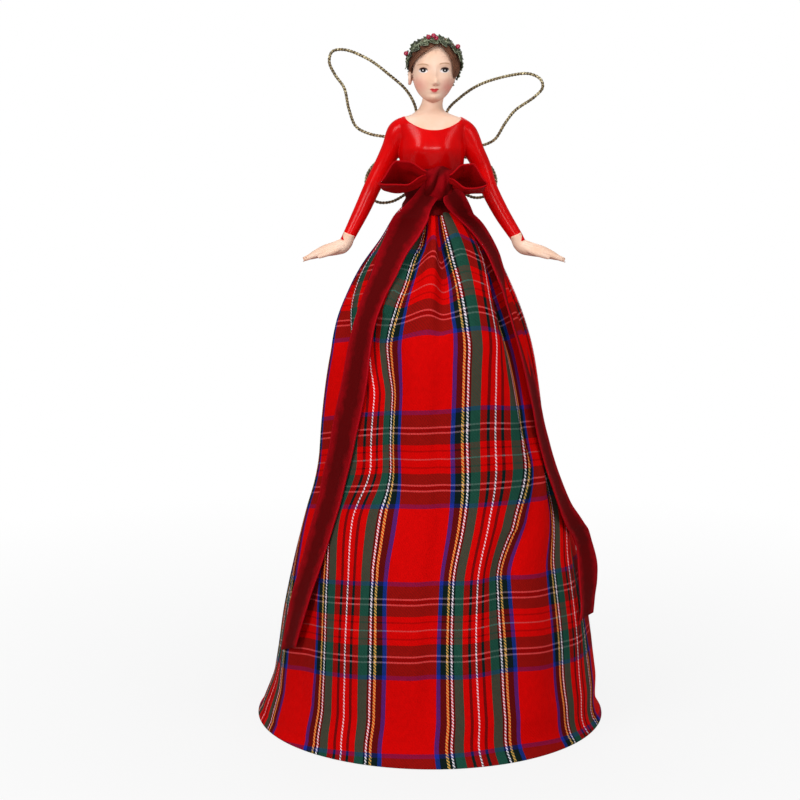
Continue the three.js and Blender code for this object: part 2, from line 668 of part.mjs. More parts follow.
function wreath() {
  const turns = Array.from({ length: wreathSteps }, (_, i) => (i / wreathSteps) * Math.PI * 2);
  const extrudePath = new THREE.CatmullRomCurve3(turns.map((turn) => wreathPoint(turn, 0)), true);
  const circle = new THREE.Shape().absarc(0, 0, wreathVineRadius, 0, Math.PI * 2);
  const settings = { steps: wreathSteps, extrudePath, curveSegments: vineSides, bevelEnabled: false };
  let garland = solidOf(new THREE.ExtrudeGeometry(circle, settings));
  for (let i = 0; i < leafCount; i++) {
    garland = garland.add(leaf(((i + 1 / 2) / leafCount) * Math.PI * 2, i % 2 ? 1 : -1));
  }
  garland = garland.subtract(hairOuter(fitGap));
  for (const place of berryPlaces()) garland = garland.subtract(solidOf(bead(berryRadius + fitGap, place)));
  return part('wreath', geometryOf(largestBody(garland)), 0x4d5a40, 0.6);
}

function berries() {
  const room = hairOuter(fitGap);
  const solids = berryPlaces().map((place) => solidOf(bead(berryRadius, place)).subtract(room));
  const spaced = solids.map((solid, i) => solids.slice(0, i).reduce(
    (rest, _, k) => rest.subtract(solidOf(bead(berryRadius + fitGap, berryPlaces()[k]))), solid,
  ));
  return spaced.map((solid, i) => part('berry_' + (i + 1), geometryOf(largestBody(solid)), 0xc2274a, 0.3));
}

// Wings

function staplePoints() {
  const inside = postY - torsoHalfDepth * stapleReachShare;
  return [
    new THREE.Vector3(postX, inside, postTopLevel), new THREE.Vector3(postX, postY, postTopLevel),
    new THREE.Vector3(postX, postY, postBottomLevel), new THREE.Vector3(postX, inside, postBottomLevel),
  ];
}

function stapleSolid(grow) {
  const [a, b, c, d] = staplePoints();
  const radius = postRadius + grow;
  const inward = new THREE.Vector3(0, -grow, 0);
  const rods = [[a.clone().add(inward), b], [b, c], [c, d.clone().add(inward)]];
  return rods.map(([from, to]) => solidOf(rodBetween(from, to, radius, beadSides)))
    .concat([solidOf(bead(radius, b)), solidOf(bead(radius, c))])
    .reduce((whole, piece) => whole.add(piece));
}

// A wing leaves the post from a hook round it, runs out level past the other wing's hooks,
// follows its outline and comes back the same way to a second hook
function wingRoute({ side, levels, route }) {
  const hookRadius = postRadius + fitGap + wireRadius;
  const hook = (level) => {
    const z = postTopLevel - wireRadius - hookSpacingHeight * (level + hookStartShare);
    const round = hookDegs.map(radians).map((turn) => new THREE.Vector3(
      postX - side * hookRadius * Math.cos(turn), postY + hookRadius * Math.sin(turn), z,
    ));
    return [...round, new THREE.Vector3(postX + side * wingExitLength, postY, z)];
  };
  const outline = route.map(([x, z]) => {
    const y = postY - wingForwardOffset * Math.min(Math.abs(x) / wingEaseShare, 1);
    return new THREE.Vector3(x * wingSpanLength, y, wingMidLevel + z * wingSpanLength);
  });
  return [...hook(levels[0]), ...outline, ...hook(levels[1]).reverse()];
}

function wing(name) {
  const { steps } = wingShares[name];
  const extrudePath = new THREE.CatmullRomCurve3(wingRoute(wingShares[name]), false, 'centripetal');
  const section = new THREE.Shape().absarc(0, 0, wireRadius, 0, Math.PI * 2);
  const settings = { steps, extrudePath, curveSegments: wingSides, bevelEnabled: false };
  return part(name, geometryOf(solidOf(new THREE.ExtrudeGeometry(section, settings))), 0x8a7440, 0.4, 0.7);
}

// Ribbon

function sash() {
  const stations = torsoShares.map(([up, wide, deep]) => [bodiceBottom + torsoHeight * up, wide, deep]);
  const levels = [sashBottomLevel, (sashBottomLevel + sashTopLevel) / 2, sashTopLevel];
  const ring = (z, grow) => {
    const [, wide, deep] = readShares(stations, z);
    const x = headCentreX * ((z - bodiceBottom) / torsoHeight);
    const [halfWidth, halfDepth] = [shoulderHalfWidth * wide + grow, torsoHalfDepth * deep + grow];
    return ellipseRing(x, -torsoForwardOffset, z, halfWidth, halfDepth, figureSides);
  };
  const outer = levels.map((z) => ring(z, fitGap + sashThickness));
  const inner = levels.map((z) => ring(z, fitGap));
  const rings = outer[0].map((_, j) => [...outer.map((r) => r[j]), ...inner.map((r) => r[j]).reverse()]);
  return part('waist_sash', loft(rings, stripCap, true), 0x8a0810, 0.9);
}

function knot() {
  const rings = knotShares.map(([up, wide]) => ellipseRing(
    knotX, bowY, bowLevel + (up * knotHeight) / 2, (wide * knotWidth) / 2, (wide * knotDepth) / 2, limbSides,
  ));
  return part('bow_knot', loft(rings), 0x8a0810, 0.9);
}

// A loop is a band of ribbon that goes out from the knot and comes back. It is pressed together along
// its lower edge and stands open along the upper one, which leans forward
function loop(side, turn) {
  const [tilt, yaw] = [radians(loopTiltDegs), radians(loopYawDegs)];
  const wide = new THREE.Vector3(0, -Math.sin(tilt), Math.cos(tilt));
  const front = new THREE.Vector3(0, -Math.cos(tilt), -Math.sin(tilt));
  const out = new THREE.Vector3(turn * Math.cos(yaw), Math.sin(yaw), 0);
  const root = new THREE.Vector3(knotX + turn * (knotWidth / 2 + fitGap * 2), bowY, bowLevel);
  const edge = ([far, lift, width], open, share) => root.clone()
    .addScaledVector(out, far * loopLengths[side])
    .addScaledVector(front, lift * loopHalfDepth * open)
    .addScaledVector(wide, width * loopWidth * share);
  const rows = loopShares.map((row) => [edge(row, loopPinchShare, -1 / 2), edge(row, 1, 1 / 2)]);
  const rings = rows.map((row, i) => {
    const [before, after] = [rows[Math.max(i - 1, 0)], rows[Math.min(i + 1, rows.length - 1)]];
    const across = row[1].clone().sub(row[0]);
    const normals = row.map((_, k) => new THREE.Vector3()
      .crossVectors(after[k].clone().sub(before[k]), across).setLength(ribbonThickness / 2));
    const faces = [1, -1].map((sign) => row.map((p, k) => p.clone().addScaledVector(normals[k], sign)));
    return [...faces[0], ...faces[1].reverse()];
  });
  return part('bow_loop_' + side, loft(rings, stripCap), 0x8a0810, 0.9);
}

function tail(side) {
  const top = tailTopShares[side].map(
    ([x, y]) => new THREE.Vector3(x * ribbonWidth, y * ribbonWidth, tailTopLevel),
  );
  const rows = tailShares[side].map(([up, from, to, standFrom, standTo]) => {
    const z = up * waistLevel;
    return [0, 1 / 2, 1].map((mix) => {
      const angle = radians(from + (to - from) * mix);
      const stand = (standFrom + (standTo - standFrom) * mix) * ribbonWidth;
      const radius = skirtRadius(z) + ribbonGap + ribbonThickness / 2 + stand;
      return new THREE.Vector3(radius * Math.sin(angle), -radius * Math.cos(angle), z);
    });
  });
  rows.unshift([top[0], top[0].clone().lerp(top[1], 1 / 2), top[1]]);
  const rings = rows.map((row, i) => {
    const across = row[2].clone().sub(row[0]);
    const down = rows[Math.min(i + 1, rows.length - 1)][1].clone().sub(rows[Math.max(i - 1, 0)][1]);
    const out = new THREE.Vector3().crossVectors(down, across).setLength(ribbonThickness / 2);
    if (out.x * row[1].x + out.y * row[1].y < 0) out.negate();
    return [...row.map((p) => p.clone().add(out)), ...row.map((p) => p.clone().sub(out)).reverse()];
  });
  return part('ribbon_tail_' + side, loft(rings, stripCap), 0x8a0810, 0.9);
}

const group = new THREE.Group();
group.add(coneFormer(), conePlug(), dowel(), hemHoop(), skirt());
group.add(bodice(), headCasting(), hair(), wreath(), ...berries());
for (const side of ['left', 'right']) group.add(sleeve(side), hand(side), tail(side));
group.add(part('wing_staple', geometryOf(stapleSolid(0)), 0x9a9a9a, 0.4, 0.8));
for (const name of Object.keys(wingShares)) group.add(wing(name));
group.add(sash(), knot(), loop('left', -1), loop('right', 1));

export default group;
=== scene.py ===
import math
import random

import bmesh
import bpy
from mathutils import Matrix, Vector, noise


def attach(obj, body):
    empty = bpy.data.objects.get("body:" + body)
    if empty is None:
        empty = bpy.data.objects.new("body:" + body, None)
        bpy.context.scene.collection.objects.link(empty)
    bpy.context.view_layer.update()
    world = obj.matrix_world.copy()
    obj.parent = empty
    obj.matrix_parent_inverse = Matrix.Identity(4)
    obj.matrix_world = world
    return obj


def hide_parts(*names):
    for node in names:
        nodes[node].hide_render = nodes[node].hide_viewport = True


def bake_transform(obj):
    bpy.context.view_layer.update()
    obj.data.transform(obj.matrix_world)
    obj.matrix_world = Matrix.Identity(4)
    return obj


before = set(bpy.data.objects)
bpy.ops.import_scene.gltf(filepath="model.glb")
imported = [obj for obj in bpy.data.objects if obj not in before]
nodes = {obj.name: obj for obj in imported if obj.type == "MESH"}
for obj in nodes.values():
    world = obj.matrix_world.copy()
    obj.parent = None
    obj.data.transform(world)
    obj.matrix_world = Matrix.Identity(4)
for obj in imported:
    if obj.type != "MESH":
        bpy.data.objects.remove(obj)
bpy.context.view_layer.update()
mm = 0.001


# Small helpers for curves, meshes and shaders

def srgb(red, green, blue):
    def linear(value):
        value /= 255
        return value / 12.92 if value <= 0.04045 else ((value + 0.055) / 1.055) ** 2.4
    return (linear(red), linear(green), linear(blue), 1)


def mix(low, high, share):
    return low + (high - low) * share


def clamp(value, low=0.0, high=1.0):
    return min(max(value, low), high)


def ease(value, start, end):       # 0 before start, 1 after end, smooth between
    share = clamp((value - start) / (end - start))
    return share * share * (3 - 2 * share)


def bell(value, centre, width):    # a soft rise of height 1
    return math.exp(-((value - centre) / width) ** 2)


def smoothCurve(places, values):   # goes through its points without overshooting them
    steps = [b - a for a, b in zip(places, places[1:])]
    slopes = [(b - a) / step for a, b, step in zip(values, values[1:], steps)]
    tangents = [slopes[0]]
    for before, after in zip(slopes, slopes[1:]):
        tangents.append(0 if before * after <= 0 else 2 * before * after / (before + after))
    tangents.append(slopes[-1])

    def read(at):
        at = clamp(at, places[0], places[-1])
        i = 0
        while i < len(steps) - 1 and at > places[i + 1]:
            i += 1
        t = (at - places[i]) / steps[i]
        swing = t * (1 - t) ** 2 * tangents[i] - t * t * (1 - t) * tangents[i + 1]
        return mix(values[i], values[i + 1], t * t * (3 - 2 * t)) + swing * steps[i]
    return read


def bezierPoint(start, middle, end, share):   # passes through middle at half way
    control = middle * 2 - (start + end) / 2
    return start.lerp(control, share).lerp(control.lerp(end, share), share)


def tableCurves(table):            # a smooth curve for each column after the first
    places = [row[0] for row in table]
    return [smoothCurve(places, [row[k] for row in table]) for k in range(1, len(table[0]))]


def lineLength(points):
    return sum((b - a).length for a, b in zip(points, points[1:]))


def stripLength(place):            # along the middle of a strip, for its flat size
    steps = 60
    return lineLength([place(0.5, i / steps) for i in range(steps + 1)])


def surfaceGrid(columns, rows, place, unwrap=None, joined=False, capped=False):
    # a grid moved to place(across, along); joined closes it round, capped closes its ends
    bm = bmesh.new()
    uv = bm.loops.layers.uv.new("cloth")
    bmesh.ops.create_grid(bm, x_segments=columns, y_segments=rows, size=0.5)
    for face in bm.faces:
        for loop in face.loops:
            across, along = loop.vert.co.x + 0.5, loop.vert.co.y + 0.5
            loop[uv].uv = unwrap(across, along) if unwrap else (across, along)
    for vert in bm.verts:
        vert.co = place(vert.co.x + 0.5, vert.co.y + 0.5)
    if joined:
        bmesh.ops.remove_doubles(bm, verts=bm.verts, dist=1e-7)
    if capped:
        bmesh.ops.holes_fill(bm, edges=bm.edges, sides=0)
    if joined:
        bmesh.ops.recalc_face_normals(bm, faces=bm.faces)
    return bm


def makePiece(name, bm, material, smooth=True):
    mesh = bpy.data.meshes.new(name)
    bm.to_mesh(mesh)
    bm.free()
    mesh.polygons.foreach_set("use_smooth", [smooth] * len(mesh.polygons))
    mesh.materials.append(material)
    piece = bpy.data.objects.new(name, mesh)
    bpy.context.scene.collection.objects.link(piece)
    return piece


def millimetrePiece(name, bm, material):     # from a mesh that was built in millimetres
    bmesh.ops.scale(bm, vec=(mm, mm, mm), verts=bm.verts)
    return makePiece(name, bm, material)


def addModifier(piece, kind, **settings):
    modifier = piece.modifiers.new(kind.title(), kind)
    for key, value in settings.items():
        setattr(modifier, key, value)
    return modifier


def applyModifiers(piece):
    done = piece.evaluated_get(bpy.context.evaluated_depsgraph_get())
    mesh = bpy.data.meshes.new_from_object(done)
    piece.modifiers.clear()
    piece.data = mesh
    mesh.polygons.foreach_set("use_smooth", [True] * len(mesh.polygons))
    return piece


def addNode(tree, kind, **settings):
    made = tree.nodes.new("ShaderNode" + kind)
    for key, value in settings.items():
        setattr(made, key, value)
    return made


def feed(tree, socket, value):     # a socket takes a link or a plain value
    if isinstance(value, bpy.types.NodeSocket):
        tree.links.new(value, socket)
    else:
        socket.default_value = value


def doMath(tree, operation, *values):
    made = addNode(tree, "Math", operation=operation)
    for socket, value in zip(made.inputs, values):
        feed(tree, socket, value)
    return made.outputs[0]


def mixColour(tree, factor, low, high):
    made = addNode(tree, "Mix", data_type="RGBA")
    for socket, value in zip((made.inputs[0], made.inputs[6], made.inputs[7]), (factor, low, high)):
        feed(tree, socket, value)
    return made.outputs[2]


def spread(tree, value, low, high, outLow=0.0, outHigh=1.0):
    made = addNode(tree, "MapRange")
    for socket, item in zip(made.inputs, (value, low, high, outLow, outHigh)):
        feed(tree, socket, item)
    return made.outputs[0]


def splitVector(tree, vector):
    made = addNode(tree, "SeparateXYZ")
    tree.links.new(vector, made.inputs[0])
    return made.outputs


def objectPlace(tree):
    return addNode(tree, "TexCoord").outputs["Object"]


def clothPlace(tree):
    return addNode(tree, "UVMap", uv_map="cloth").outputs[0]


def millimetrePlace(tree):         # x, y and z in millimetres
    made = addNode(tree, "VectorMath", operation="SCALE")
    feed(tree, made.inputs[0], objectPlace(tree))
    feed(tree, made.inputs["Scale"], 1 / mm)
    return splitVector(tree, made.outputs[0])


def noiseAt(tree, vector, scale, detail=3.0, roughness=0.55):
    made = addNode(tree, "TexNoise")
    for key, value in (("Vector", vector), ("Scale", scale), ("Detail", detail), ("Roughness", roughness)):
        feed(tree, made.inputs[key], value)
    return made.outputs["Fac"]


def bumpNormal(tree, height, strength, distance):
    made = addNode(tree, "Bump")
    for key, value in (("Height", height), ("Strength", strength), ("Distance", distance)):
        feed(tree, made.inputs[key], value)
    return made.outputs["Normal"]


def coat(tree, shader, colour, height, strength, depth):     # colour and bump of a finish
    feed(tree, shader.inputs["Base Color"], colour)
    feed(tree, shader.inputs["Normal"], bumpNormal(tree, height, strength, depth))


def newMaterial(name, values):     # returns the material, its tree and its shader
    material = bpy.data.materials.new(name)
    material.use_nodes = True
    shader = material.node_tree.nodes["Principled BSDF"]
    for socket, value in values.items():
        shader.inputs[socket].default_value = value
    return material, material.node_tree, shader


def newGroup(name, inputs, outputs):         # labels of sockets: Place is a vector, the others are numbers
    group = bpy.data.node_groups.new(name, "ShaderNodeTree")
    for inOut, labels in (("INPUT", inputs), ("OUTPUT", outputs)):
        for label in labels.split():
            kind = "Vector" if label == "Place" else "Float"
            group.interface.new_socket(label, in_out=inOut, socket_type="NodeSocket" + kind)
    return group, group.nodes.new("NodeGroupInput").outputs, group.nodes.new("NodeGroupOutput").inputs


def useGroup(tree, group, *values):
    made = addNode(tree, "Group", node_tree=group)
    for socket, value in zip(made.inputs, values):
        feed(tree, socket, value)
    return made.outputs


# Camera, light and floor

studio = {
    "cameraPlace": (-0.01256, -0.850, 0.2965),
    "cameraTilt": 79.06,
    "lens": 95.13,
    "sensorWidth": 36,
    "clipStart": 0.01,
    "floorSize": 6.0,
    "floorDrop": 0.2 * mm,
    "floorGrey": 0.5,
    "floorRoughness": 0.9,
    "worldLight": 0.2,
    "shadowShare": 0.14,
    "shadowReach": (0.08, 0.4),    # where the shadow starts to fade and where it has gone
    "lampAim": (0, 0, 0.16),
    "lamps": [      # name, place, size, watts
        ("keySoftbox", (-0.75, -0.80, 0.75), 0.50, 7.2),
        ("fillSoftbox", (0.85, -0.75, 0.55), 0.50, 3.2),
        ("topSoftbox", (0.05, -0.25, 1.10), 0.45, 4.0),
        ("frontPanel", (-0.02, -1.15, 0.42), 0.16, 1.9),
        ("backSoftbox", (0.10, 0.95, 0.70), 0.60, 2.4),
    ],
}


def makeCamera(scene):
    data = bpy.data.cameras.new("camera")
    data.lens, data.sensor_width, data.clip_start = studio["lens"], studio["sensorWidth"], studio["clipStart"]
    camera = bpy.data.objects.new("camera", data)
    camera.location = studio["cameraPlace"]
    camera.rotation_euler = (math.radians(studio["cameraTilt"]), 0, 0)
    scene.collection.objects.link(camera)
    scene.camera = camera
    scene.view_settings.view_transform = "Standard"


def makeWorld(scene):              # white to the camera, dim as a light
    world = bpy.data.worlds.new("studio")
    world.use_nodes = True
    tree = world.node_tree
    rays = addNode(tree, "LightPath").outputs
    seen = doMath(tree, "MAXIMUM", rays["Is Camera Ray"], rays["Is Transmission Ray"])
    background = tree.nodes["Background"].inputs
    feed(tree, background["Color"], (1, 1, 1, 1))
    feed(tree, background["Strength"], spread(tree, seen, 0, 1, studio["worldLight"], 1))
    scene.world = world


def makeLamps(scene):
    for name, place, size, watts in studio["lamps"]:
        lamp = bpy.data.lights.new(name, "AREA")
        lamp.shape, lamp.size, lamp.energy = "SQUARE", size, watts
        holder = bpy.data.objects.new(name, lamp)
        holder.location = place
        aim = Vector(studio["lampAim"]) - Vector(place)
        holder.rotation_euler = aim.to_track_quat("-Z", "Y").to_euler()
        scene.collection.objects.link(holder)


def makeFloor():                   # white to the camera, but for a faint shadow round the hem
    bm = bmesh.new()
    bmesh.ops.create_grid(bm, x_segments=1, y_segments=1, size=studio["floorSize"])
    bmesh.ops.translate(bm, verts=bm.verts, vec=(0, 0, -studio["floorDrop"]))
    grey = studio["floorGrey"]
    material, tree, shader = newMaterial("paleFloor", {
        "Base Color": (grey, grey, grey, 1), "Roughness": studio["floorRoughness"],
    })
    rays = addNode(tree, "LightPath").outputs
    glow = addNode(tree, "Emission").outputs[0]
    blend = addNode(tree, "MixShader")
    away = addNode(tree, "VectorMath", operation="LENGTH")
    feed(tree, away.inputs[0], objectPlace(tree))
    plain = spread(tree, away.outputs["Value"], *studio["shadowReach"], 1 - studio["shadowShare"], 1)
    share = doMath(tree, "MULTIPLY", rays["Is Camera Ray"], plain)
    for socket, value in zip(blend.inputs, (share, shader.outputs[0], glow)):
        feed(tree, socket, value)
    feed(tree, tree.nodes["Material Output"].inputs[0], blend.outputs[0])
    makePiece("floor", bm, material, smooth=False)


def makeStudio():
    scene = bpy.context.scene
    makeCamera(scene)
    makeWorld(scene)
    makeLamps(scene)
    makeFloor()
    print("studio ready")


# Tartan skirt: one gathered panel with a turned-up hem

skirtPanel = {
    "waistLevel": 212 * mm,
    "hemRadius": 72.25 * mm,
    "clothWidth": 437 * mm,
    "warpRepeat": 57 * mm,
    "weftRepeat": 67 * mm,
    "weftStart": 85 * mm,         # level of the middle of a wide red weft band
    "columns": 360,
    "rows": 118,
    "thickness": 0.35 * mm,
    "rowPower": 1.15,              # the rows lie closer together towards the hem
    "hemEdge": 0.45 * mm,
    # how the cloth turns in at the hem and ends inside: level, inset
    "hemFold": [
        (0.14 * mm, 0.12 * mm), (0, 0.5 * mm), (0.14 * mm, 0.9 * mm), (0.8 * mm, 1.05 * mm),
        (3 * mm, 1.1 * mm), (6 * mm, 1.15 * mm),
    ],
    "stitchGroove": (0.16 * mm, 3.4 * mm, 0.4 * mm),   # depth, level, half height
    "dropShare": 0.9,             # how far the weft sinks in a deep fold
    "calmLevels": (118 * mm, 185 * mm),   # between these the folds and their sinking weft fade
    "calmShare": 0.55,
    "leftTuck": (2.7 * mm, 200 * mm, 11 * mm),    # the waist is pulled in at the left: depth, level, height
    "tuckAngles": ((0.35, 1.2), (1.9, 2.8)),      # radians from the front, where the tuck starts and ends
    "lean": (2 * mm, 4 * mm, 18 * mm, 95 * mm, 128 * mm),   # to the right: how far, where it starts and ends
    "coneRadii": (67.4 * mm, 9 * mm),             # at the hem and at the cone's height
    "coneHeight": 205 * mm,
    "fillLimits": (0.1, 1),       # least and most share of its cloth's width that a fold takes up
    "hemFade": 30 * mm,           # the folds reach their depth over this height
    "waistFade": (-4 * mm, 11 * mm),              # and lose it between these distances below the waist
    "valleyPower": 1.25,
    "gather": (0.3 * mm, 9.4),    # depth, how many in a repeat
    "gatherLevels": (150 * mm, 209 * mm),
    "uneven": (0.7 * mm, 3.1, 16),                # depth, grain round the skirt and up it
    "unevenFade": 20 * mm,
    "deepLevels": (160 * mm, 185 * mm),   # the folds may get deeper between these
    "foldLimits": (0.21, 0.26),   # the deepest a fold may be, as a share of the radius
    "sag": (12.5 * mm, 4.2 * mm),  # how far the weft hangs low at the left and at the right
    "highSagShare": 0.72,
    "highSagLevels": (140 * mm, 165 * mm),
    "levelDegrees": (40, 60),     # left of these the weft doesn't sink in the folds
    "riseAngles": ((-2, 12), (27, 17)),           # in degrees: middle and width of each rise
    # level, how far the weft rises in front and at the right, in millimetres
    "rises": [
        (0, 0, 1.4), (47, 0.3, 1.9), (75, 0, 1), (105, 0, 0.4), (128, 0, 1.3), (160, 0.2, 2.2),
        (172, 1.7, 3.2), (184, 1.7, 4.1), (193, 3, 5), (212, 3, 5),
    ],
    "coneGap": 2.2 * mm,
    # share of the waist level, share of the hem radius
    "outline": [
        (0, 1), (0.019, 0.969), (0.047, 0.947), (0.118, 0.916), (0.198, 0.886), (0.292, 0.836),
        (0.358, 0.792), (0.425, 0.738), (0.472, 0.699), (0.528, 0.662), (0.58, 0.638), (0.642, 0.614),
        (0.722, 0.574), (0.783, 0.524), (0.858, 0.438), (0.92, 0.352), (0.962, 0.278), (0.986, 0.217),
        (1, 0.165),
    ],
    # warp lines, in repeats from the front, and the degrees that they lie at, level by level
    "lines": (-0.81, -0.5, -0.34, -0.19, 0.19, 0.305, 0.5, 0.81, 1.19),
    "lineDegrees": [
        (0, -45, -30, -22.8, -16, 1.3, 6.8, 16, 31, 48),
        (0.085, -48.4, -33, -25.1, -17.9, -0.3, 5.1, 14, 29.2, 46.2),
        (0.19, -49.7, -34.2, -25.9, -18.2, -0.2, 4.9, 13.6, 29.5, 47.5),
        (0.33, -54, -36.4, -27.6, -19.7, 0.95, 6, 15.5, 30.5, 50),
        (0.435, -58.5, -38.9, -28, -17.8, 4.8, 11.2, 22.5, 43.5, 64),
        (0.54, -54, -32, -24, -16.5, 8, 16, 31.2, 59, 72),
        (0.66, -54, -32, -24.5, -16.3, 10.2, 18.5, 35, 60, 74),
        (0.72, -55, -37, -29, -17.5, 11.3, 20, 37.5, 60, 75),
        (0.762, -61, -41, -32, -18.7, 12.4, 21.5, 40.5, 60, 76),
        (0.83, -77, -46, -28, -17.3, 13.5, 22, 43, 61, 77),
        (0.87, -82, -48, -24, -14.6, 14.5, 21.5, 46, 64, 80),
        (0.91, -86, -50, -22.4, -10.8, 13, 19.6, 50, 65, 83),
        (0.935, -88, -50, -17, -6.5, 11.8, 18.6, 51, 66, 84),
        (1, -90, -48, -13, -5, 11, 15, 48, 66, 86),
    ],
    # where the ridges and valleys of the folds lie, in repeats: whole numbers are ridges
    "folds": [
        (-3.833, -6), (-3.187, -5), (-2.541, -4), (-1.896, -3), (-1.25, -2), (-0.95, -1.5), (-0.62, -1),
        (-0.33, -0.5), (-0.02, 0), (0.15, 0.5), (0.45, 1), (0.72, 1.5), (0.98, 2), (1.551, 3), (2.121, 4),
        (2.692, 5), (3.263, 6), (3.833, 7),
    ],
    "foldCount": 13,
    "foldSlackShare": 0.62,
}


panelRepeats = skirtPanel["clothWidth"] / skirtPanel["warpRepeat"]
outlineAt = tableCurves(skirtPanel["outline"])[0]
lineCurves = tableCurves(skirtPanel["lineDegrees"])
riseCurves = tableCurves(skirtPanel["rises"])
foldAt = smoothCurve(*zip(*skirtPanel["folds"]))
angleCurves = {}                   # kept for each level, because many points share one


def skirtRadius(z):
    return outlineAt(clamp(z / skirtPanel["waistLevel"])) * skirtPanel["hemRadius"]


def skirtLean(z):
    far, starts, full, stays, ends = skirtPanel["lean"]
    return far * ease(z, starts, full) * (1 - ease(z, stays, ends))


def angleCurve(z):                 # from a place in the cloth, in repeats, to degrees round the skirt
    if z not in angleCurves:
        degrees = [curve(clamp(z / skirtPanel["waistLevel"])) for curve in lineCurves]
        places = [-panelRepeats / 2, *skirtPanel["lines"], panelRepeats / 2]
        angleCurves[z] = smoothCurve(places, [-180, *degrees, 180])
    return angleCurves[z]


def foldDepth(repeats, z):         # as deep as the spare cloth of a fold allows, clear of the cone
    panel = skirtPanel
    angles, radius = angleCurve(z), skirtRadius(z)
    reach = panelRepeats / panel["foldCount"] / 2
    low, high = max(repeats - reach, -panelRepeats / 2), min(repeats + reach, panelRepeats / 2)
    arc = math.radians(angles(high) - angles(low)) * radius
    fill = clamp(arc / ((high - low) * panel["warpRepeat"]), *panel["fillLimits"])
    wave = panel["clothWidth"] / panel["foldCount"] * fill
    wanted = panel["foldSlackShare"] * wave / math.pi * math.sqrt(1 / fill - 1)
    room = radius - mix(*panel["coneRadii"], z / panel["coneHeight"]) - panel["coneGap"]
    limit = radius * mix(*panel["foldLimits"], ease(z, *panel["deepLevels"]))
    depth = min(wanted, max(room, 0) / 2, limit) * ease(z, 0, panel["hemFade"])
    depth *= ease(panel["waistLevel"] - z, *panel["waistFade"])
    return depth * mix(panel["calmShare"], 1, ease(z, *panel["calmLevels"]))


def skirtPoint(repeats, z, inset=0.0):      # returns how far it is sunk in a fold as well
    panel = skirtPanel
    angle = math.radians(angleCurve(z)(repeats))
    swing = 0.5 - 0.5 * math.cos(2 * math.pi * foldAt(repeats))
    sunk = foldDepth(repeats, z) * 2 * swing ** panel["valleyPower"]
    gather, count = panel["gather"]
    gather *= ease(z, *panel["gatherLevels"]) * math.sin(2 * math.pi * count * repeats)
    uneven, grainRound, grainUp = panel["uneven"]
    uneven *= noise.noise(Vector((math.sin(angle) * grainRound, math.cos(angle) * grainRound, z * grainUp)))
    uneven *= ease(z, 0, panel["unevenFade"]) * ease(panel["waistLevel"] - z, 0, panel["unevenFade"])
    tuck, tuckLevel, tuckHeight = panel["leftTuck"]
    starts, ends = panel["tuckAngles"]
    tuck *= ease(-angle, *starts) * (1 - ease(-angle, *ends)) * bell(z, tuckLevel, tuckHeight)
    groove, grooveLevel, grooveHeight = panel["stitchGroove"]
    radius = skirtRadius(z) - sunk + gather + uneven - tuck
    radius -= groove * bell(z, grooveLevel, grooveHeight) + inset
    return Vector((radius * math.sin(angle) + skirtLean(z), -radius * math.cos(angle), z)), sunk


def slopeLength(level):            # along the outline from the hem up to a level
    steps = 60
    return lineLength([Vector((skirtRadius(level * i / steps), level * i / steps)) for i in range(steps + 1)])


def skirtRows():                   # from the waist to the hem edge, and up inside it: level, inset, length
    panel = skirtPanel
    rows = [(panel["waistLevel"], 0.0)]
    for i in range(1, panel["rows"] + 1):
        share = (1 - i / panel["rows"]) ** panel["rowPower"]
        rows.append((panel["waistLevel"] * share + panel["hemEdge"], 0.0))
    folded = len(rows) + 1         # the lowest row and all after it count from the hem edge
    rows += panel["hemFold"]
    return [(z, inset, slopeLength(z) if i < folded else -z) for i, (z, inset) in enumerate(rows)]


def weftDrop(point, z, sunk):      # how far the weft hangs below its level
    panel = skirtPanel
    angle = math.degrees(math.atan2(point.x, -point.y))
    sag = panel["sag"][0 if angle < 0 else 1] * (1 - math.cos(math.radians(min(abs(angle), 90))))
    if angle < 0:
        sag *= mix(1, panel["highSagShare"], ease(z, *panel["highSagLevels"]))
    for curve, (middle, width) in zip(riseCurves, panel["riseAngles"]):
        sag -= curve(z / mm) * mm * bell(angle, middle, width)
    folded = ease(z, *panel["calmLevels"]) * (1 - ease(-angle, *panel["levelDegrees"]))
    return panel["dropShare"] * sunk * folded + sag


def makeSkirt(material):
    panel = skirtPanel
    rows = skirtRows()
    start = slopeLength(panel["weftStart"])
    last = len(rows) - 1

    def place(across, along):
        z, inset = rows[round(along * last)][:2]
        return skirtPoint(panelRepeats * (across - 0.5), z, inset)[0]

    def unwrap(across, along):
        z, inset, length = rows[round(along * last)]
        repeats = panelRepeats * (across - 0.5)
        point, sunk = skirtPoint(repeats, z)
        drop = 0 if inset else weftDrop(point, z, sunk)
        return repeats, (length - start + drop) / panel["weftRepeat"]

    skirt = makePiece("tartanSkirt", surfaceGrid(panel["columns"], last, place, unwrap, joined=True), material)
    addModifier(skirt, "SOLIDIFY", thickness=panel["thickness"], offset=-1)
    finishPiece(skirt, "tartan_cloth", "figure", "skirt")
    hemTurn = panel["hemFold"][-1][0]
    flat = (panel["clothWidth"], slopeLength(panel["waistLevel"]) + hemTurn)
    print("skirt made, cloth", round(flat[0], 3), "by", round(flat[1], 3))


# Cloth materials

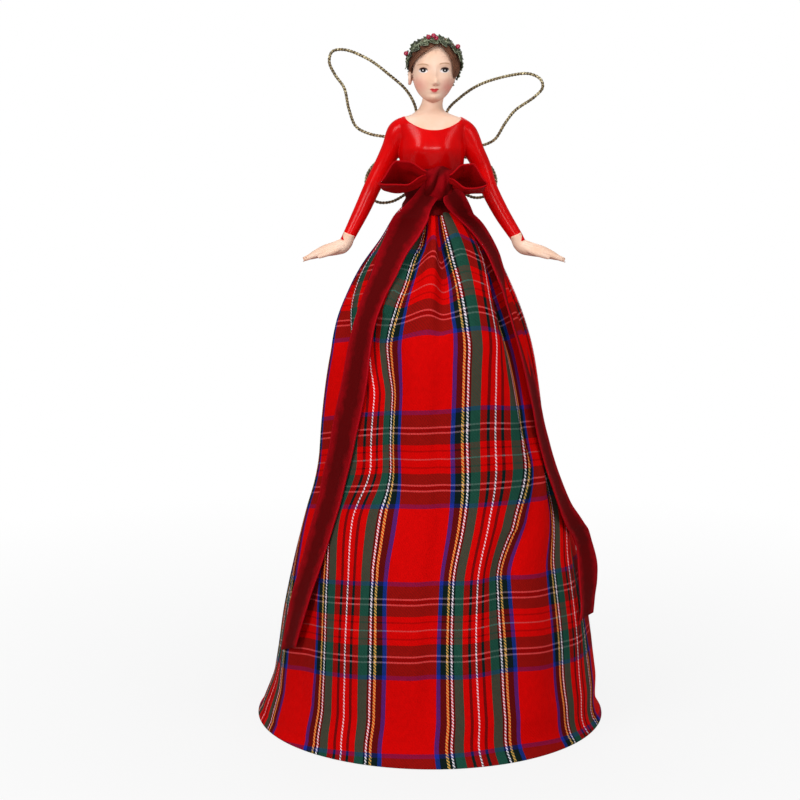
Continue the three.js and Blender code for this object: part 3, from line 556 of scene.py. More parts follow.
tartan = {
    # place in half a repeat as a share of the repeat, thread colour, how far it covers the other threads
    "warp": [
        (0, (208, 6, 3), 0.66), (0.1875, (34, 48, 150), 0.68), (0.2175, (26, 24, 26), 0.62),
        (0.2625, (232, 172, 86), 0.62), (0.2795, (26, 20, 22), 0.66), (0.297, (250, 234, 246), 0.62),
        (0.311, (26, 26, 26), 0.62), (0.3255, (38, 80, 66), 0.82), (0.3915, (208, 6, 3), 0.66),
        (0.436, (26, 24, 28), 0.5), (0.458, (208, 6, 3), 0.66), (0.4935, (250, 228, 240), 0.62),
    ],
    "weft": [
        (0, (205, 6, 4), 1), (0.212, (30, 46, 140), 0.9), (0.237, (8, 46, 40), 1),
        (0.309, (200, 170, 175), 1), (0.3195, (12, 16, 18), 1), (0.343, (200, 170, 175), 1),
        (0.3535, (8, 46, 40), 1), (0.415, (205, 6, 4), 1), (0.446, (110, 8, 8), 1), (0.456, (205, 6, 4), 1),
        (0.4945, (200, 170, 175), 1),
    ],
    "threads": (46, 52),           # twill ribs in a repeat, across and along
}


def stripeRamp(tree, place, stripes):
    # colours are mixed as written, so the stops hold them unconverted
    ramp = addNode(tree, "ValToRGB")
    ramp.color_ramp.interpolation = "CONSTANT"
    marks = ramp.color_ramp.elements
    while len(marks) < len(stripes):
        marks.new(0.5)
    for mark, (at, colour, cover) in zip(marks, stripes):
        mark.position = at * 2
        mark.color = [value / 255 for value in colour] + [cover]
    feed(tree, ramp.inputs[0], doMath(tree, "MULTIPLY", doMath(tree, "PINGPONG", place, 0.5), 2))
    return ramp.outputs


def makeTwillGroup():              # diagonal ribs of a twill weave, as a mask and a height
    group, start, end = newGroup("twillWeave", "Across Along Softness", "Rib Height")
    diagonal = doMath(group, "ADD", start["Across"], start["Along"])
    rib = doMath(group, "SINE", doMath(group, "MULTIPLY", diagonal, 2 * math.pi))
    thread = doMath(group, "SINE", doMath(group, "MULTIPLY", start["Across"], 4 * math.pi))
    feed(group, end["Rib"], doMath(group, "MULTIPLY", rib, start["Softness"]))
    height = doMath(group, "ADD", rib, doMath(group, "MULTIPLY", thread, 0.4))
    feed(group, end["Height"], spread(group, height, -1.4, 1.4))
    return group


def makeTartan():
    twill = makeTwillGroup()
    material, tree, shader = newMaterial("tartanTwill", {
        "Roughness": 0.85, "Specular IOR Level": 0.05,
    })
    across, along = splitVector(tree, clothPlace(tree))[:2]
    warp, warpCover = stripeRamp(tree, across, tartan["warp"])
    weft, weftCover = stripeRamp(tree, along, tartan["weft"])
    threadsAcross, threadsAlong = tartan["threads"]
    weave = useGroup(
        tree, twill, doMath(tree, "MULTIPLY", across, threadsAcross),
        doMath(tree, "MULTIPLY", along, threadsAlong), spread(tree, warp, 0.5, 0.6, 0.05, 0.42)
    )
    cover = doMath(tree, "ADD", doMath(tree, "MULTIPLY", warpCover, weftCover), weave["Rib"])
    threads = mixColour(tree, cover, weft, warp)
    uneven = noiseAt(tree, clothPlace(tree), 26)
    shade = spread(tree, uneven, 0.3, 0.7, 0.86, 0.97)
    gamma = addNode(tree, "Gamma")
    tree.links.new(threads, gamma.inputs[0])
    gamma.inputs[1].default_value = 2.2
    colour = addNode(tree, "VectorMath", operation="SCALE")
    tree.links.new(gamma.outputs[0], colour.inputs[0])
    tree.links.new(shade, colour.inputs["Scale"])
    raised = doMath(tree, "ADD", weave["Height"], doMath(tree, "MULTIPLY", warpCover, 2))
    coat(tree, shader, colour.outputs[0], raised, 0.5, 0.08 * mm)
    return material


def makeVelvet(name, middle, rim, edge):     # colours from the middle of the ribbon to its woven edge; the lighter rim colour is painted sheen
    material, tree, shader = newMaterial(name, {
        "Roughness": 0.75, "Sheen Weight": 0.16, "Sheen Roughness": 0.3,
        "Sheen Tint": srgb(215, 10, 30), "Specular IOR Level": 0.06,
    })
    across = splitVector(tree, clothPlace(tree))[0]
    fromEdge = doMath(tree, "PINGPONG", across, 0.5)
    swirl = noiseAt(tree, clothPlace(tree), 3, 2)
    pile = noiseAt(tree, objectPlace(tree), 260, 4)
    brushed = doMath(tree, "ADD", doMath(tree, "MULTIPLY", swirl, 0.5), doMath(tree, "MULTIPLY", pile, 0.5))
    wide = doMath(tree, "ADD", fromEdge, spread(tree, brushed, 0.35, 0.65, -0.08, 0.08))
    # painted sheen: the dark middle turns to the lighter rim colour towards the edges
    pileAndSheen = mixColour(tree, spread(tree, wide, 0.08, 0.3), srgb(*rim), srgb(*middle))
    selvage = spread(tree, fromEdge, 0.025, 0.055, 1, 0)
    fuzz = noiseAt(tree, objectPlace(tree), 4200, 2)
    coat(tree, shader, mixColour(tree, selvage, pileAndSheen, srgb(*edge)), fuzz, 0.35, 0.12 * mm)
    return material


# Velvet ribbon: tails, bow loops, knot and sash

ribbon = {
    "width": 14 * mm,
    "thickness": 0.55 * mm,
    "gap": 1.15 * mm,             # between the skirt and the middle of a tail
    "tailRows": 96,
    "across": 12,
    # share of the waist level, degrees of the two edges, how far each stands off in ribbon widths
    "tails": {
        "left": [
            (0.984, -57, -4, 0.03, 0.02), (0.953, -52, -12.6, 0, 0), (0.92, -51.3, -22, 0, 0),
            (0.882, -50.5, -27, 0, 0), (0.84, -52, -32.6, 0, 0), (0.783, -52.6, -35.5, 0, 0),
            (0.708, -52.5, -35, 0, 0), (0.637, -55, -37, 0, 0), (0.566, -58, -40.3, 0, 0),
            (0.491, -63, -45.3, 0, 0), (0.425, -63.6, -47.6, 0, 0), (0.354, -64.5, -50, 0, 0),
            (0.283, -67, -53.5, 0, 0), (0.226, -69, -56, 0, 0), (0.17, -70.5, -58.5, 0, 0),
        ],
        "right": [
            (0.986, 33, 72, 0.03, 0.03), (0.958, 45, 83, 0, 0), (0.917, 53.3, 80, 0, 0),
            (0.89, 54.3, 76, 0, -0.03), (0.864, 55.2, 75.5, 0, -0.1), (0.845, 55.8, 75.5, 0, -0.18),
            (0.817, 55.3, 74.5, 0, -0.26), (0.782, 54.8, 74, 0, -0.26), (0.735, 56, 74.5, 0, -0.2),
            (0.674, 58.7, 76, 0, -0.1), (0.635, 60.6, 77.5, 0, -0.08), (0.594, 61.7, 78, 0, -0.04),
            (0.548, 63.1, 79, 0, 0), (0.505, 63.8, 79.5, 0, 0), (0.465, 65.5, 81, 0, 0.02),
            (0.431, 66.7, 81.5, 0, 0.08), (0.395, 69.3, 82.3, 0, 0.28), (0.369, 74.5, 86.8, 0, 0.36),
            (0.345, 76.1, 88, 0, 0.38), (0.314, 71.6, 82.9, 0, 0.42), (0.28, 69.1, 80.7, 0, 0.34),
            (0.247, 67.5, 79.4, 0, 0.19), (0.22, 64, 76, 0, 0.11),
        ],
    },
    # the edges at the knot, and where they pass over the sash
    "tailStart": {
        "left": (((-2.4, -15.2, 223.4), (4.0, -15.6, 218.0)), ((-7.6, -14.0, 216.5), (0.2, -15.6, 213.0))),
        "right": (((4.6, -15.6, 217.0), (10.2, -14.2, 221.2)), ((5.2, -15.4, 213.5), (13.8, -13.6, 215.8))),
    },
    "endSlant": {"left": (-3.4 * mm, 1.7 * mm), "right": (0, 0)},   # how far the end's corners are cut aslant
    "cup": 0.35 * mm,              # how far the edges curl out
    "ripple": (0.3 * mm, 1.6, 14),                # height, grain across and along
    "blendRise": 4 * mm,           # above and below the pivot the bend spreads this far
    "tailPivot": {"left": (-3.6, -14.05, 215), "right": (6.4, -13.5, 215)},
}


def tailEdge(side, curves, at, share):       # where the tail lies over the skirt
    up, degLow, degHigh, standLow, standHigh = [curve(at) for curve in curves]
    last = len(ribbon["tails"][side]) - 1
    z = up * skirtPanel["waistLevel"] + mix(*ribbon["endSlant"][side], share) * ease(at, last - 2, last)
    angle = math.radians(mix(degLow, degHigh, share))
    radius = skirtRadius(z) + ribbon["gap"] + mix(standLow, standHigh, share) * ribbon["width"]
    return Vector((radius * math.sin(angle) + skirtLean(z), -radius * math.cos(angle), z))


def makeTail(side, material):
    rows = ribbon["tails"][side]
    curves = tableCurves([(i, *row) for i, row in enumerate(rows)])
    start = [[Vector(point) * mm for point in pair] for pair in ribbon["tailStart"][side]]
    height, grainAcross, grainAlong = ribbon["ripple"]

    def place(across, along):
        at = along * (len(rows) + 1) - 2
        edges = [tailEdge(side, curves, max(at, 0), k) for k in (0, 1)]
        if at < 0:                 # the two rows that come down from the knot over the sash
            edges = [bezierPoint(start[0][k], start[1][k], edges[k], at / 2 + 1) for k in (0, 1)]
        point = edges[0].lerp(edges[1], across)
        out = Vector((point.x, point.y, 0)).normalized()
        cup = ribbon["cup"] * (4 * (across - 0.5) ** 2)
        ripple = height * noise.noise(Vector((across * grainAcross, along * grainAlong, len(side))))
        return point + out * (cup + ripple)

    length = stripLength(place)
    grid = (ribbon["across"], ribbon["tailRows"])
    bm = surfaceGrid(*grid, place, lambda s, t: (s, t * length / ribbon["width"]))
    tail = makePiece("ribbonTail" + side.title(), bm, material)
    addModifier(tail, "SOLIDIFY", thickness=ribbon["thickness"], offset=0)
    applyModifiers(tail)
    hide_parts("ribbon_tail_" + side)
    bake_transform(tail)
    print("ribbon tail", side, "length", round(length, 4))


bow = {
    "knotPlace": (2.6, -13.6, 222.0),
    "knotSize": (6.4, 3.4, 5.9),
    "rootTilt": 52,               # how far a loop leans to the front where it leaves the knot
    "rearTilt": 38,               # how far its back leans
    "frontTilt": 74,              # how far its front lies over, like a shelf
    "half": 1.2,                  # half the distance between its two plies
    "pleat": (0.45, 13),          # depth, how close
    "sag": (0.9, 2, 5),           # depth, grain across and along
    "frontReach": 1.2,            # the front ply reaches further out
    "lowerShort": 1.4,            # the lower edge reaches less far out
    "tipBack": 1.2,               # its tip lies this far back
    "columns": 24,
    "rows": 80,
    "knotColumns": 48,
    "knotRows": 64,
    "knotLength": 22 * mm,
    "knotTurn": (-0.25, 1.2),     # where it starts and ends round its middle, in half turns
    "knotLean": 0.8,
    "knotPinch": (0.2, 0.55, 0.25),     # how far its sides are drawn in, where and over what width
    # valleys and ridges that run slantwise over the knot: rise, slant, where it pivots, place, width
    "creases": [
        (-0.9, 1.5, 0.36, 0.02, 0.16), (-0.8, -0.5, 0.6, 0.62, 0.16), (0.7, 1.5, 0.36, -0.32, 0.2),
        (0.5, 1.1, 0.5, 0.36, 0.18),
    ],
    # how far out, how far to the front and how wide along a loop, from the knot and back, as shares
    "path": [
        (0, 0, -0.2, 0.72), (0.09, 0.12, -0.5, 0.8), (0.2, 0.3, -0.88, 0.9), (0.31, 0.55, -1.02, 0.98),
        (0.4, 0.8, -0.92, 1), (0.47, 0.95, -0.5, 1), (0.51, 1, 0, 1), (0.56, 0.94, 0.5, 1),
        (0.64, 0.76, 0.88, 1), (0.75, 0.5, 0.98, 0.94), (0.87, 0.26, 0.8, 0.72), (0.95, 0.1, 0.48, 0.54),
        (1, 0, 0.2, 0.46),
    ],
    "loops": {"left": (-1, (-2.2, -10.8, 219.5), 18.6), "right": (1, (6.9, -10.8, 218.7), 14.6)},
}


def makeLoop(side, material):
    turn, root, reach = bow["loops"][side]
    outAt, frontAt, widthAt = tableCurves(bow["path"])
    pleatDepth, pleatClose = bow["pleat"]
    sagDepth, grainAcross, grainAlong = bow["sag"]

    def place(across, along):
        out, ahead = outAt(along), frontAt(along)
        rear = mix(bow["rearTilt"], bow["frontTilt"], ease(out, 0.66, 1.02))
        leaning = mix(rear, bow["frontTilt"], ease(ahead, -0.45, 0.45))
        tilt = math.radians(mix(bow["rootTilt"], leaning, ease(out, 0, 0.42)))
        wide = Vector((0, -math.sin(tilt), math.cos(tilt)))
        front = Vector((0, -math.cos(tilt), -math.sin(tilt)))
        pleat = pleatDepth * math.sin(across * pleatClose + turn) * (1 - ease(out, 0, 0.8))
        sag = sagDepth * noise.noise(Vector((across * grainAcross, along * grainAlong, turn)))
        sag *= ease(out, 0.1, 0.5)
        width = ribbon["width"] / mm * (0.5 + (across - 0.5) * widthAt(along))
        aside = out * reach + bow["frontReach"] * ahead * out - bow["lowerShort"] * (1 - across) * out
        point = Vector(root) + Vector((turn * aside, 0, 0))
        point += front * (ahead * bow["half"] + pleat + sag) + Vector((0, bow["tipBack"] * out, 0))
        return (point + wide * width) * mm

    length = stripLength(place)
    bm = surfaceGrid(bow["columns"], bow["rows"], place, lambda s, t: (s, t * length / ribbon["width"]))
    band = makePiece("bowLoop" + side.title(), bm, material)
    addModifier(band, "SOLIDIFY", thickness=ribbon["thickness"], offset=0)
    finishPiece(band, "velvet", "figure", "bow_loop_" + side)
    print("bow loop", side, "length", round(length, 4))


def makeKnot(material):
    centre, size = Vector(bow["knotPlace"]), bow["knotSize"]
    pinch, pinchPlace, pinchWidth = bow["knotPinch"]

    def place(across, along):
        around = mix(*bow["knotTurn"], along) * math.pi
        side = 2 * across - 1
        tuck = math.sqrt(clamp(1 - abs(side) ** 2.6, 0))
        crease = sum(
            rise * bell(side + slant * (along - pivot), middle, width)
            for rise, slant, pivot, middle, width in bow["creases"]
        )
        swell = size[1] * (0.25 + 0.75 * tuck) + crease * tuck * math.sin(math.pi * clamp(along))
        tall = size[2] * (0.66 + 0.34 * tuck) * (1 + 0.09 * math.sin(side * 5 + 1))
        half = size[0] * side * (1 - pinch * bell(along, pinchPlace, pinchWidth))
        return Vector((
            centre.x + half - bow["knotLean"] * (along - 0.5),
            centre.y - swell * math.sin(around), centre.z + tall * math.cos(around),
        )) * mm

    def unwrap(across, along):     # the map wanders between the middle and the edge of the ribbon, so the painted sheen of the rim colour lies on the knot in patches
        return 0.08 + 0.3 * math.sin(5 * across + 6 * along) ** 4, along * 1.5
    knot = makePiece("bowKnot", surfaceGrid(bow["knotColumns"], bow["knotRows"], place, unwrap), material)
    addModifier(knot, "SOLIDIFY", thickness=ribbon["thickness"], offset=-1)
    finishPiece(knot, "velvet", "figure", "bow_knot")


sash = {
    "levels": (209.6, 219.8),
    # level, half width and half depth of the dress under it
    "waist": [(205, 8.6, 7.1), (213.4, 8.85, 7.35), (217.5, 9.4, 7.75), (223.3, 11.15, 8.7)],
    "standOff": 1.0,
    "flare": (11, 14.4),          # half width and half depth at its lower edge
    "flareEnd": 0.75,
    "forward": 1,                 # how far forward its upper edge lies
    "folds": (0.45, 9, 1.4),      # depth, how close, how far they slant
    "gathers": (0.3, 11),         # depth, how many
    "drops": (0.7, 0.9),          # how far the lower edge waves and hangs in front
    "girthRadius": 12 * mm,
    "columns": 140,
    "rows": 26,
}


def makeSash(material):
    outline = tableCurves(sash["waist"])
    foldDeep, foldClose, foldSlant = sash["folds"]
    gatherDeep, gatherCount = sash["gathers"]
    wave, hang = sash["drops"]

    def place(across, along):
        z, turn = mix(*sash["levels"], along), across * 2 * math.pi
        wide, deep = [curve(z) + sash["standOff"] for curve in outline]
        flare = 1 - ease(along, 0, sash["flareEnd"])
        wide, deep = mix(wide, sash["flare"][0], flare), mix(deep, sash["flare"][1], flare)
        fold = foldDeep * math.sin(along * foldClose + foldSlant * math.sin(2 * turn))
        fold *= math.sin(math.pi * along)
        out = fold + gatherDeep * math.sin(turn * gatherCount) * flare
        drop = (wave * math.sin(turn * 3 + 1) - hang * math.cos(turn)) * flare
        y = -sash["forward"] * (1 - flare) - (deep + out) * math.cos(turn)
        return Vector(((wide + out) * math.sin(turn), y, z + drop)) * mm
    girth = 2 * math.pi * sash["girthRadius"]
    bm = surfaceGrid(
        sash["columns"], sash["rows"], place, lambda s, t: (0.3 + 0.2 * t, s * girth / ribbon["width"]),
        joined=True
    )
    band = makePiece("waistSash", bm, material)
    addModifier(band, "SOLIDIFY", thickness=ribbon["thickness"], offset=-1)
    finishPiece(band, "velvet", "figure", "waist_sash")


# Cast figure: torso, arms, chest, head and hands, in millimetres until they are made pieces

figure = {
    "bottom": 209.3,
    "torsoHeight": 41.2,
    "halfWidth": 13.6,
    "halfDepth": 9.8,
    "forward": 1.0,
    "centreX": 1.1,               # middle of the head and of the neckline
    "neckX": -0.35,
    "lean": 0.35,                 # how far the torso leans aside over its height
    "dressThickness": 0.22,
    "voxel": 0.34 * mm,
    "softness": 9,
    "torsoGrid": (96, 72),
    "neckGrid": (72, 48),
    "armGrid": (48, 90),
    "neckTurn": (249, 258),       # levels where the neck leans over to the head
    # share of the torso's height, of its half width and of its half depth
    "torso": [
        (0, 0.63, 0.72), (0.1, 0.65, 0.75), (0.2, 0.69, 0.79), (0.34, 0.82, 0.87), (0.48, 0.93, 0.93),
        (0.6, 0.95, 0.94), (0.7, 0.94, 0.88), (0.79, 0.98, 0.8), (0.865, 1, 0.68), (0.912, 0.85, 0.58),
        (0.949, 0.55, 0.51), (0.972, 0.4, 0.44), (1, 0.28, 0.36),
    ],
    "bust": {"apart": 5.0, "level": 236.2, "width": 4.4, "height": 5.0, "rise": 1.1, "frontShare": 1.6},
    # level, half width, half depth and middle in depth of the neck
    "neck": [
        (243, 12.5, 5.8, -0.8), (246.9, 11.2, 5.3, -0.5), (248.4, 7.4, 4.9, -0.3), (249.5, 5.9, 4.6, -0.2),
        (250.9, 4.75, 4.4, -0.1), (253.3, 4.2, 4.2, 0.1), (259, 4.2, 4.4, 0.6),
    ],
    "neckline": {
        "level": 244.6, "halfWidth": 17.7, "rise": 7.48, "riseShare": 0.97, "slope": 0.23, "reach": (22, 25),
        "grid": (44, 10), "thickness": 60 * mm,
    },
    # x, y, level and radius along each arm
    "arms": {
        "left": [
            (-8.6, 0, 244.0, 4.3), (-13.0, 0.3, 241.6, 4.5), (-15.8, 0.7, 234.9, 4.1),
            (-19.4, 1.2, 227.6, 3.7), (-23.3, 1.2, 220.0, 3.5), (-28.0, -0.3, 209.9, 3.2),
            (-33.4, -2.6, 199.3, 2.6), (-35.0, -3.2, 196.2, 2.5),
        ],
        "right": [
            (9.3, 0, 244.0, 4.3), (13.6, 0.3, 241.0, 4.5), (17.2, 0.7, 233.6, 4.1), (20.3, 1.2, 227.4, 3.7),
            (22.9, 1.2, 219.5, 3.5), (28.1, -0.3, 209.2, 3.2), (34.6, -2.6, 199.0, 2.6),
            (36.2, -3.2, 195.9, 2.5),
        ],
    },
    "cuffs": {"left": (-34.3, -3.0, 197.5), "right": (35.4, -3.0, 197.2)},
    "wrists": {"left": (-33.4, -2.6, 199.3), "right": (34.5, -2.6, 199.0)},
    "cuffAxis": (0.46, -0.19, -0.87),
    "armholes": {"left": (-12.9, 0, 232), "right": (13.8, 0, 232)},
    "armholeLean": 0.06,
}

handShape = {
    "voxel": 0.2 * mm,
    "softness": 4,
    "palmGrid": (40, 44),
    "fingerGrid": (24, 30),
    "reach": {"left": 1.0, "right": 1.07},
    "middleY": -0.4,
    "knuckles": (9.0, -5.25),     # out, up
    "fingerDrop": 0.36,           # how far a finger drops for each millimetre out
    "tipDrop": 0.3,
    "tipsApart": 0.72,            # share of the distances at the knuckles
    # out, up, half height and half depth in millimetres, from the wrist
    "palm": [
        (-0.6, 1.6, 2.4, 2.4), (0.95, -2.3, 2.6, 2.6), (2.6, -3.5, 3.0, 3.0), (5.8, -4.5, 2.7, 3.6),
        (9, -5.25, 2.4, 3.7), (13.2, -6.8, 1.7, 3.3), (16.0, -8.0, 1.0, 2.7), (17.4, -8.6, 0.5, 2.0),
    ],
    # place across the hand, how far out the tip is, and radii at the knuckle and the tip
    "fingers": [
        (-2.7, 17.2, 1.3, 0.8), (-0.9, 18.6, 1.35, 0.85), (0.9, 18.0, 1.3, 0.8), (2.6, 15.8, 1.1, 0.7),
    ],
    # out, up, y and radius along the thumb
    "thumb": [
        (2.6, -3.6, -2.0, 1.2), (5.6, -5.0, -3.4, 1.3), (8.6, -6.2, -3.7, 1.1), (12.2, -7.6, -3.3, 0.75),
    ],
}

headShape = {
    "chin": 253.8,
    "height": 22.7,
    "halfWidth": 8.7,
    "halfDepth": 9.8,
    "jawAside": 0.45,
    "jawShares": (0.12, 0.48),
    "grid": (160, 130),
    "voxel": 0.2 * mm,
    "softness": 4,
    # share of the height, of the half width and of the half depth, and how far forward its middle lies
    "profile": [
        (-0.03, 0, 0, 0.42), (0, 0.25, 0.2, 0.44), (0.055, 0.5, 0.47, 0.33), (0.16, 0.74, 0.73, 0.16),
        (0.29, 0.905, 0.9, 0.05), (0.42, 0.99, 0.98, 0), (0.59, 1, 1, -0.03), (0.76, 0.94, 0.94, -0.06),
        (0.91, 0.72, 0.71, -0.06), (1, 0.4, 0.4, -0.06), (1.04, 0, 0, -0.06),
    ],
    # how far the face stands out: place across, level, half width, half height, rise
    "relief": [
        (1.4, 264.6, 0.75, 2.4, 0.45), (1.5, 261.4, 0.95, 1.15, 1.25), (0.6, 260.8, 0.5, 0.5, 0.4),
        (2.45, 260.8, 0.5, 0.5, 0.4), (-3.45, 266.0, 2.3, 1.6, -0.6), (5.15, 266.0, 2.3, 1.6, -0.6),
        (-3.45, 265.95, 1.5, 0.9, 0.4), (5.15, 265.95, 1.5, 0.9, 0.4), (-3.5, 268.5, 2.6, 0.9, 0.16),
        (5.0, 268.7, 2.6, 0.9, 0.16), (-4.4, 260.9, 2.5, 2.4, 0.45), (6.2, 260.9, 2.5, 2.4, 0.45),
        (1.0, 258.85, 1.5, 0.42, 0.36), (1.0, 257.75, 1.15, 0.48, 0.42), (1.0, 258.32, 1.6, 0.16, -0.14),
        (1.0, 256.65, 1.9, 0.55, -0.28), (0.9, 255.1, 2.1, 1.4, 0.5), (1.2, 259.7, 0.4, 0.5, -0.1),
    ],
    "ear": {
        "place": (-8.55, -0.2, 262.6), "size": (0.85, 1.7, 2.7), "rim": 0.42, "rimReach": (0.55, 0.9),
        "hollow": (0.35, (0.1, 0.35), (0.1, 0.45)),     # depth, then place and width across and up
        "narrow": 0.28, "grid": (40, 28),
    },
}


def ellipseSweep(rows, columns, count):     # rows of level, half width, half depth, middle y
    levels = [row[0] for row in rows]
    wide, deep, middle = tableCurves(rows)

    def place(across, along):
        z, turn = mix(levels[0], levels[-1], along), across * 2 * math.pi
        return Vector((
            mix(figure["neckX"], figure["centreX"], ease(z, *figure["neckTurn"])) + wide(z) * math.sin(turn),
            middle(z) - deep(z) * math.cos(turn), z
        ))
    return surfaceGrid(columns, count, place, joined=True, capped=True)


def limbSweep(stations, columns, rows):     # stations of x, y, z, half height, half depth
    curves = tableCurves([(i, *station) for i, station in enumerate(stations)])
    last, near = len(stations) - 1, 0.05

    def centre(at):
        return Vector([curve(at) for curve in curves[:3]])

    def place(across, along):
        at, turn = along * last, across * 2 * math.pi
        ahead = (centre(min(at + near, last)) - centre(max(at - near, 0))).normalized()
        up = ahead.cross(Vector((0, 1, 0))).normalized()
        side = up.cross(ahead).normalized()
        high, deep = curves[3](at), curves[4](at)
        return centre(at) + up * high * math.sin(turn) + side * deep * math.cos(turn)
    return surfaceGrid(columns, rows, place, joined=True, capped=True)


def torsoSweep(grow):
    wide, deep = tableCurves(figure["torso"])
    bust = figure["bust"]

    def place(across, along):
        turn = across * 2 * math.pi
        z = figure["bottom"] + along * figure["torsoHeight"]
        x = (figure["halfWidth"] * wide(along) + grow) * math.sin(turn)
        y = -figure["forward"] - (figure["halfDepth"] * deep(along) + grow) * math.cos(turn)
        front = clamp(math.cos(turn) * bust["frontShare"])
        lift = sum(bell(x, side * bust["apart"], bust["width"]) for side in (-1, 1))
        y -= bust["rise"] * front * lift * bell(z, bust["level"], bust["height"])
        return Vector((x + figure["lean"] * along, y, z))
    return surfaceGrid(*figure["torsoGrid"], place, joined=True, capped=True)


def headSweep(grow=0.0):
    wide, deep, forward = tableCurves(headShape["profile"])
    low, high = headShape["profile"][0][0], headShape["profile"][-1][0]

    def place(across, along):
        share = mix(low, high, 0.5 - 0.5 * math.cos(math.pi * along))
        turn = across * 2 * math.pi
        middle = figure["centreX"] - headShape["jawAside"] * (1 - ease(share, *headShape["jawShares"]))
        grown = grow * ease(wide(share), 0, 0.4)
        x = middle + (headShape["halfWidth"] * wide(share) + grown) * math.sin(turn)
        y = -(forward(share) + deep(share) * math.cos(turn)) * headShape["halfDepth"] - grown * math.cos(turn)
        z = headShape["chin"] + headShape["height"] * share + grow * (1 if share > 0.9 else 0)
        if math.cos(turn) > 0:
            rise = sum(
                height * bell(x, across0, halfWidth) * bell(z, level, halfHeight)
                for across0, level, halfWidth, halfHeight, height in headShape["relief"]
            )
            y -= rise * ease(math.cos(turn), 0.1, 0.5)
        return Vector((x, y, z))
    return surfaceGrid(*headShape["grid"], place, joined=True, capped=True)


def joinMeshes(parts):
    whole = bmesh.new()
    for part in parts:
        mesh = bpy.data.meshes.new("part")
        part.to_mesh(mesh)
        part.free()
        whole.from_mesh(mesh)
        bpy.data.meshes.remove(mesh)
    return whole


def evenSkin(piece, voxel, softness):
    addModifier(piece, "REMESH", mode="VOXEL", voxel_size=voxel, use_smooth_shade=True)
    addModifier(piece, "SMOOTH", factor=0.5, iterations=softness)
    return applyModifiers(piece)


def castShape(name, parts, shape, material):
    # the parts grow together into one skin, which is then smoothed
    piece = millimetrePiece(name, joinMeshes(parts), material)
    return evenSkin(piece, shape["voxel"], shape["softness"])


def cutWith(piece, cutter, operation):
    addModifier(piece, "BOOLEAN", operation=operation, object=cutter, solver="EXACT")
    applyModifiers(piece)


def slicePiece(piece, point, normal, name=None):
    # keeps what lies behind the plane; with a name, what lies before it becomes a piece of its own
    other = None
    if name:
        other = piece.copy()
        other.data = piece.data.copy()
        other.name = name
        bpy.context.scene.collection.objects.link(other)
    for item, ahead in ((piece, False), (other, True)):
        if item:
            bm = bmesh.new()
            bm.from_mesh(item.data)
            found = bmesh.ops.bisect_plane(
                bm, geom=bm.verts[:] + bm.edges[:] + bm.faces[:], dist=1e-7, plane_co=Vector(point) * mm,
                plane_no=normal, clear_outer=not ahead, clear_inner=ahead
            )
            rim = [edge for edge in found["geom_cut"] if isinstance(edge, bmesh.types.BMEdge)]
            bmesh.ops.holes_fill(bm, edges=rim, sides=0)
            for edge in rim:
                edge.smooth = False
            bm.to_mesh(item.data)
            bm.free()
    return other


def dropPiece(piece):
    bpy.data.objects.remove(piece)


def finishPiece(piece, slot, body, *replaced):
    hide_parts(*replaced)
    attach(piece, body)


def necklineCutter():
    line = figure["neckline"]
    wide, deep = line["reach"]

    def place(across, along):
        x, y = mix(-wide, wide, across), mix(-deep, deep, along)
        t = (x / line["halfWidth"] + 1) / 2
        curve = (1 - t) ** 2 - 2 * t * (1 - t) + t * t
        z = line["level"] + line["riseShare"] * line["rise"] * curve + line["slope"] * y
        return Vector((x + figure["centreX"], y, z)) * mm
    cutter = makePiece("necklineCutter", surfaceGrid(*line["grid"], place), None)
    addModifier(cutter, "SOLIDIFY", thickness=line["thickness"], offset=1)
    return applyModifiers(cutter)


def makeDress(material, cutter):
    parts = [torsoSweep(figure["dressThickness"])]
    for side in ("left", "right"):
        stations = [(x, y, z, r, r) for x, y, z, r in figure["arms"][side]]
        parts.append(limbSweep(stations, *figure["armGrid"]))
    bodice = castShape("bodiceCast", parts, figure, material)
    cutWith(bodice, cutter, "DIFFERENCE")
    across, forward, down = figure["cuffAxis"]
    for side, turn in (("left", -1), ("right", 1)):
        outward = (turn, 0, -figure["armholeLean"])
        sleeve = slicePiece(bodice, figure["armholes"][side], outward, "sleeve" + side.title())
        slicePiece(sleeve, figure["cuffs"][side], (turn * across, forward, down))
        finishPiece(sleeve, "red_paint", "figure", "sleeve_" + side)
    finishPiece(bodice, "red_paint", "figure", "bodice")
    print("dress cast", len(bodice.data.polygons))


def earSweep():
    ear = headShape["ear"]
    hollow, hollowAcross, hollowUp = ear["hollow"]
    bm = bmesh.new()
    columns, rows = ear["grid"]
    bmesh.ops.create_uvsphere(bm, u_segments=columns, v_segments=rows, radius=1)
    for vert in bm.verts:
        x, y, z = vert.co
        rim = ear["rim"] * ease(math.hypot(y, z), *ear["rimReach"])
        rim -= hollow * bell(y, *hollowAcross) * bell(z, *hollowUp)
        narrow = 1 - ear["narrow"] * ease(-z, 0, 1)
        vert.co = (
            ear["place"][0] + ear["size"][0] * x - (rim if x < 0 else 0),
            ear["place"][1] + ear["size"][1] * y * narrow, ear["place"][2] + ear["size"][2] * z,
        )
    return bm


def makeHead(material, cutter):
    neck = ellipseSweep(figure["neck"], *figure["neckGrid"])
    head = castShape("headCast", [headSweep(), neck, torsoSweep(0), earSweep()], headShape, material)
    cutWith(head, cutter, "INTERSECT")
    finishPiece(head, "skin_paint", "figure", "head")
    print("head cast", len(head.data.polygons))


def fingerStations(across, tip, knuckle, end):         # out, up, y, half height, half depth
    out0, up0 = handShape["knuckles"]
    stations = []
    for share in (0, 0.25, 0.5, 0.75, 1):
        out = mix(out0, tip, share)
        up = up0 - handShape["fingerDrop"] * (out - out0) - handShape["tipDrop"] * share ** 3
        y = across * mix(1, handShape["tipsApart"], share) + handShape["middleY"]
        radius = mix(knuckle, end, share ** 1.5)
        stations.append((out, up, y, radius, radius))
    return stations


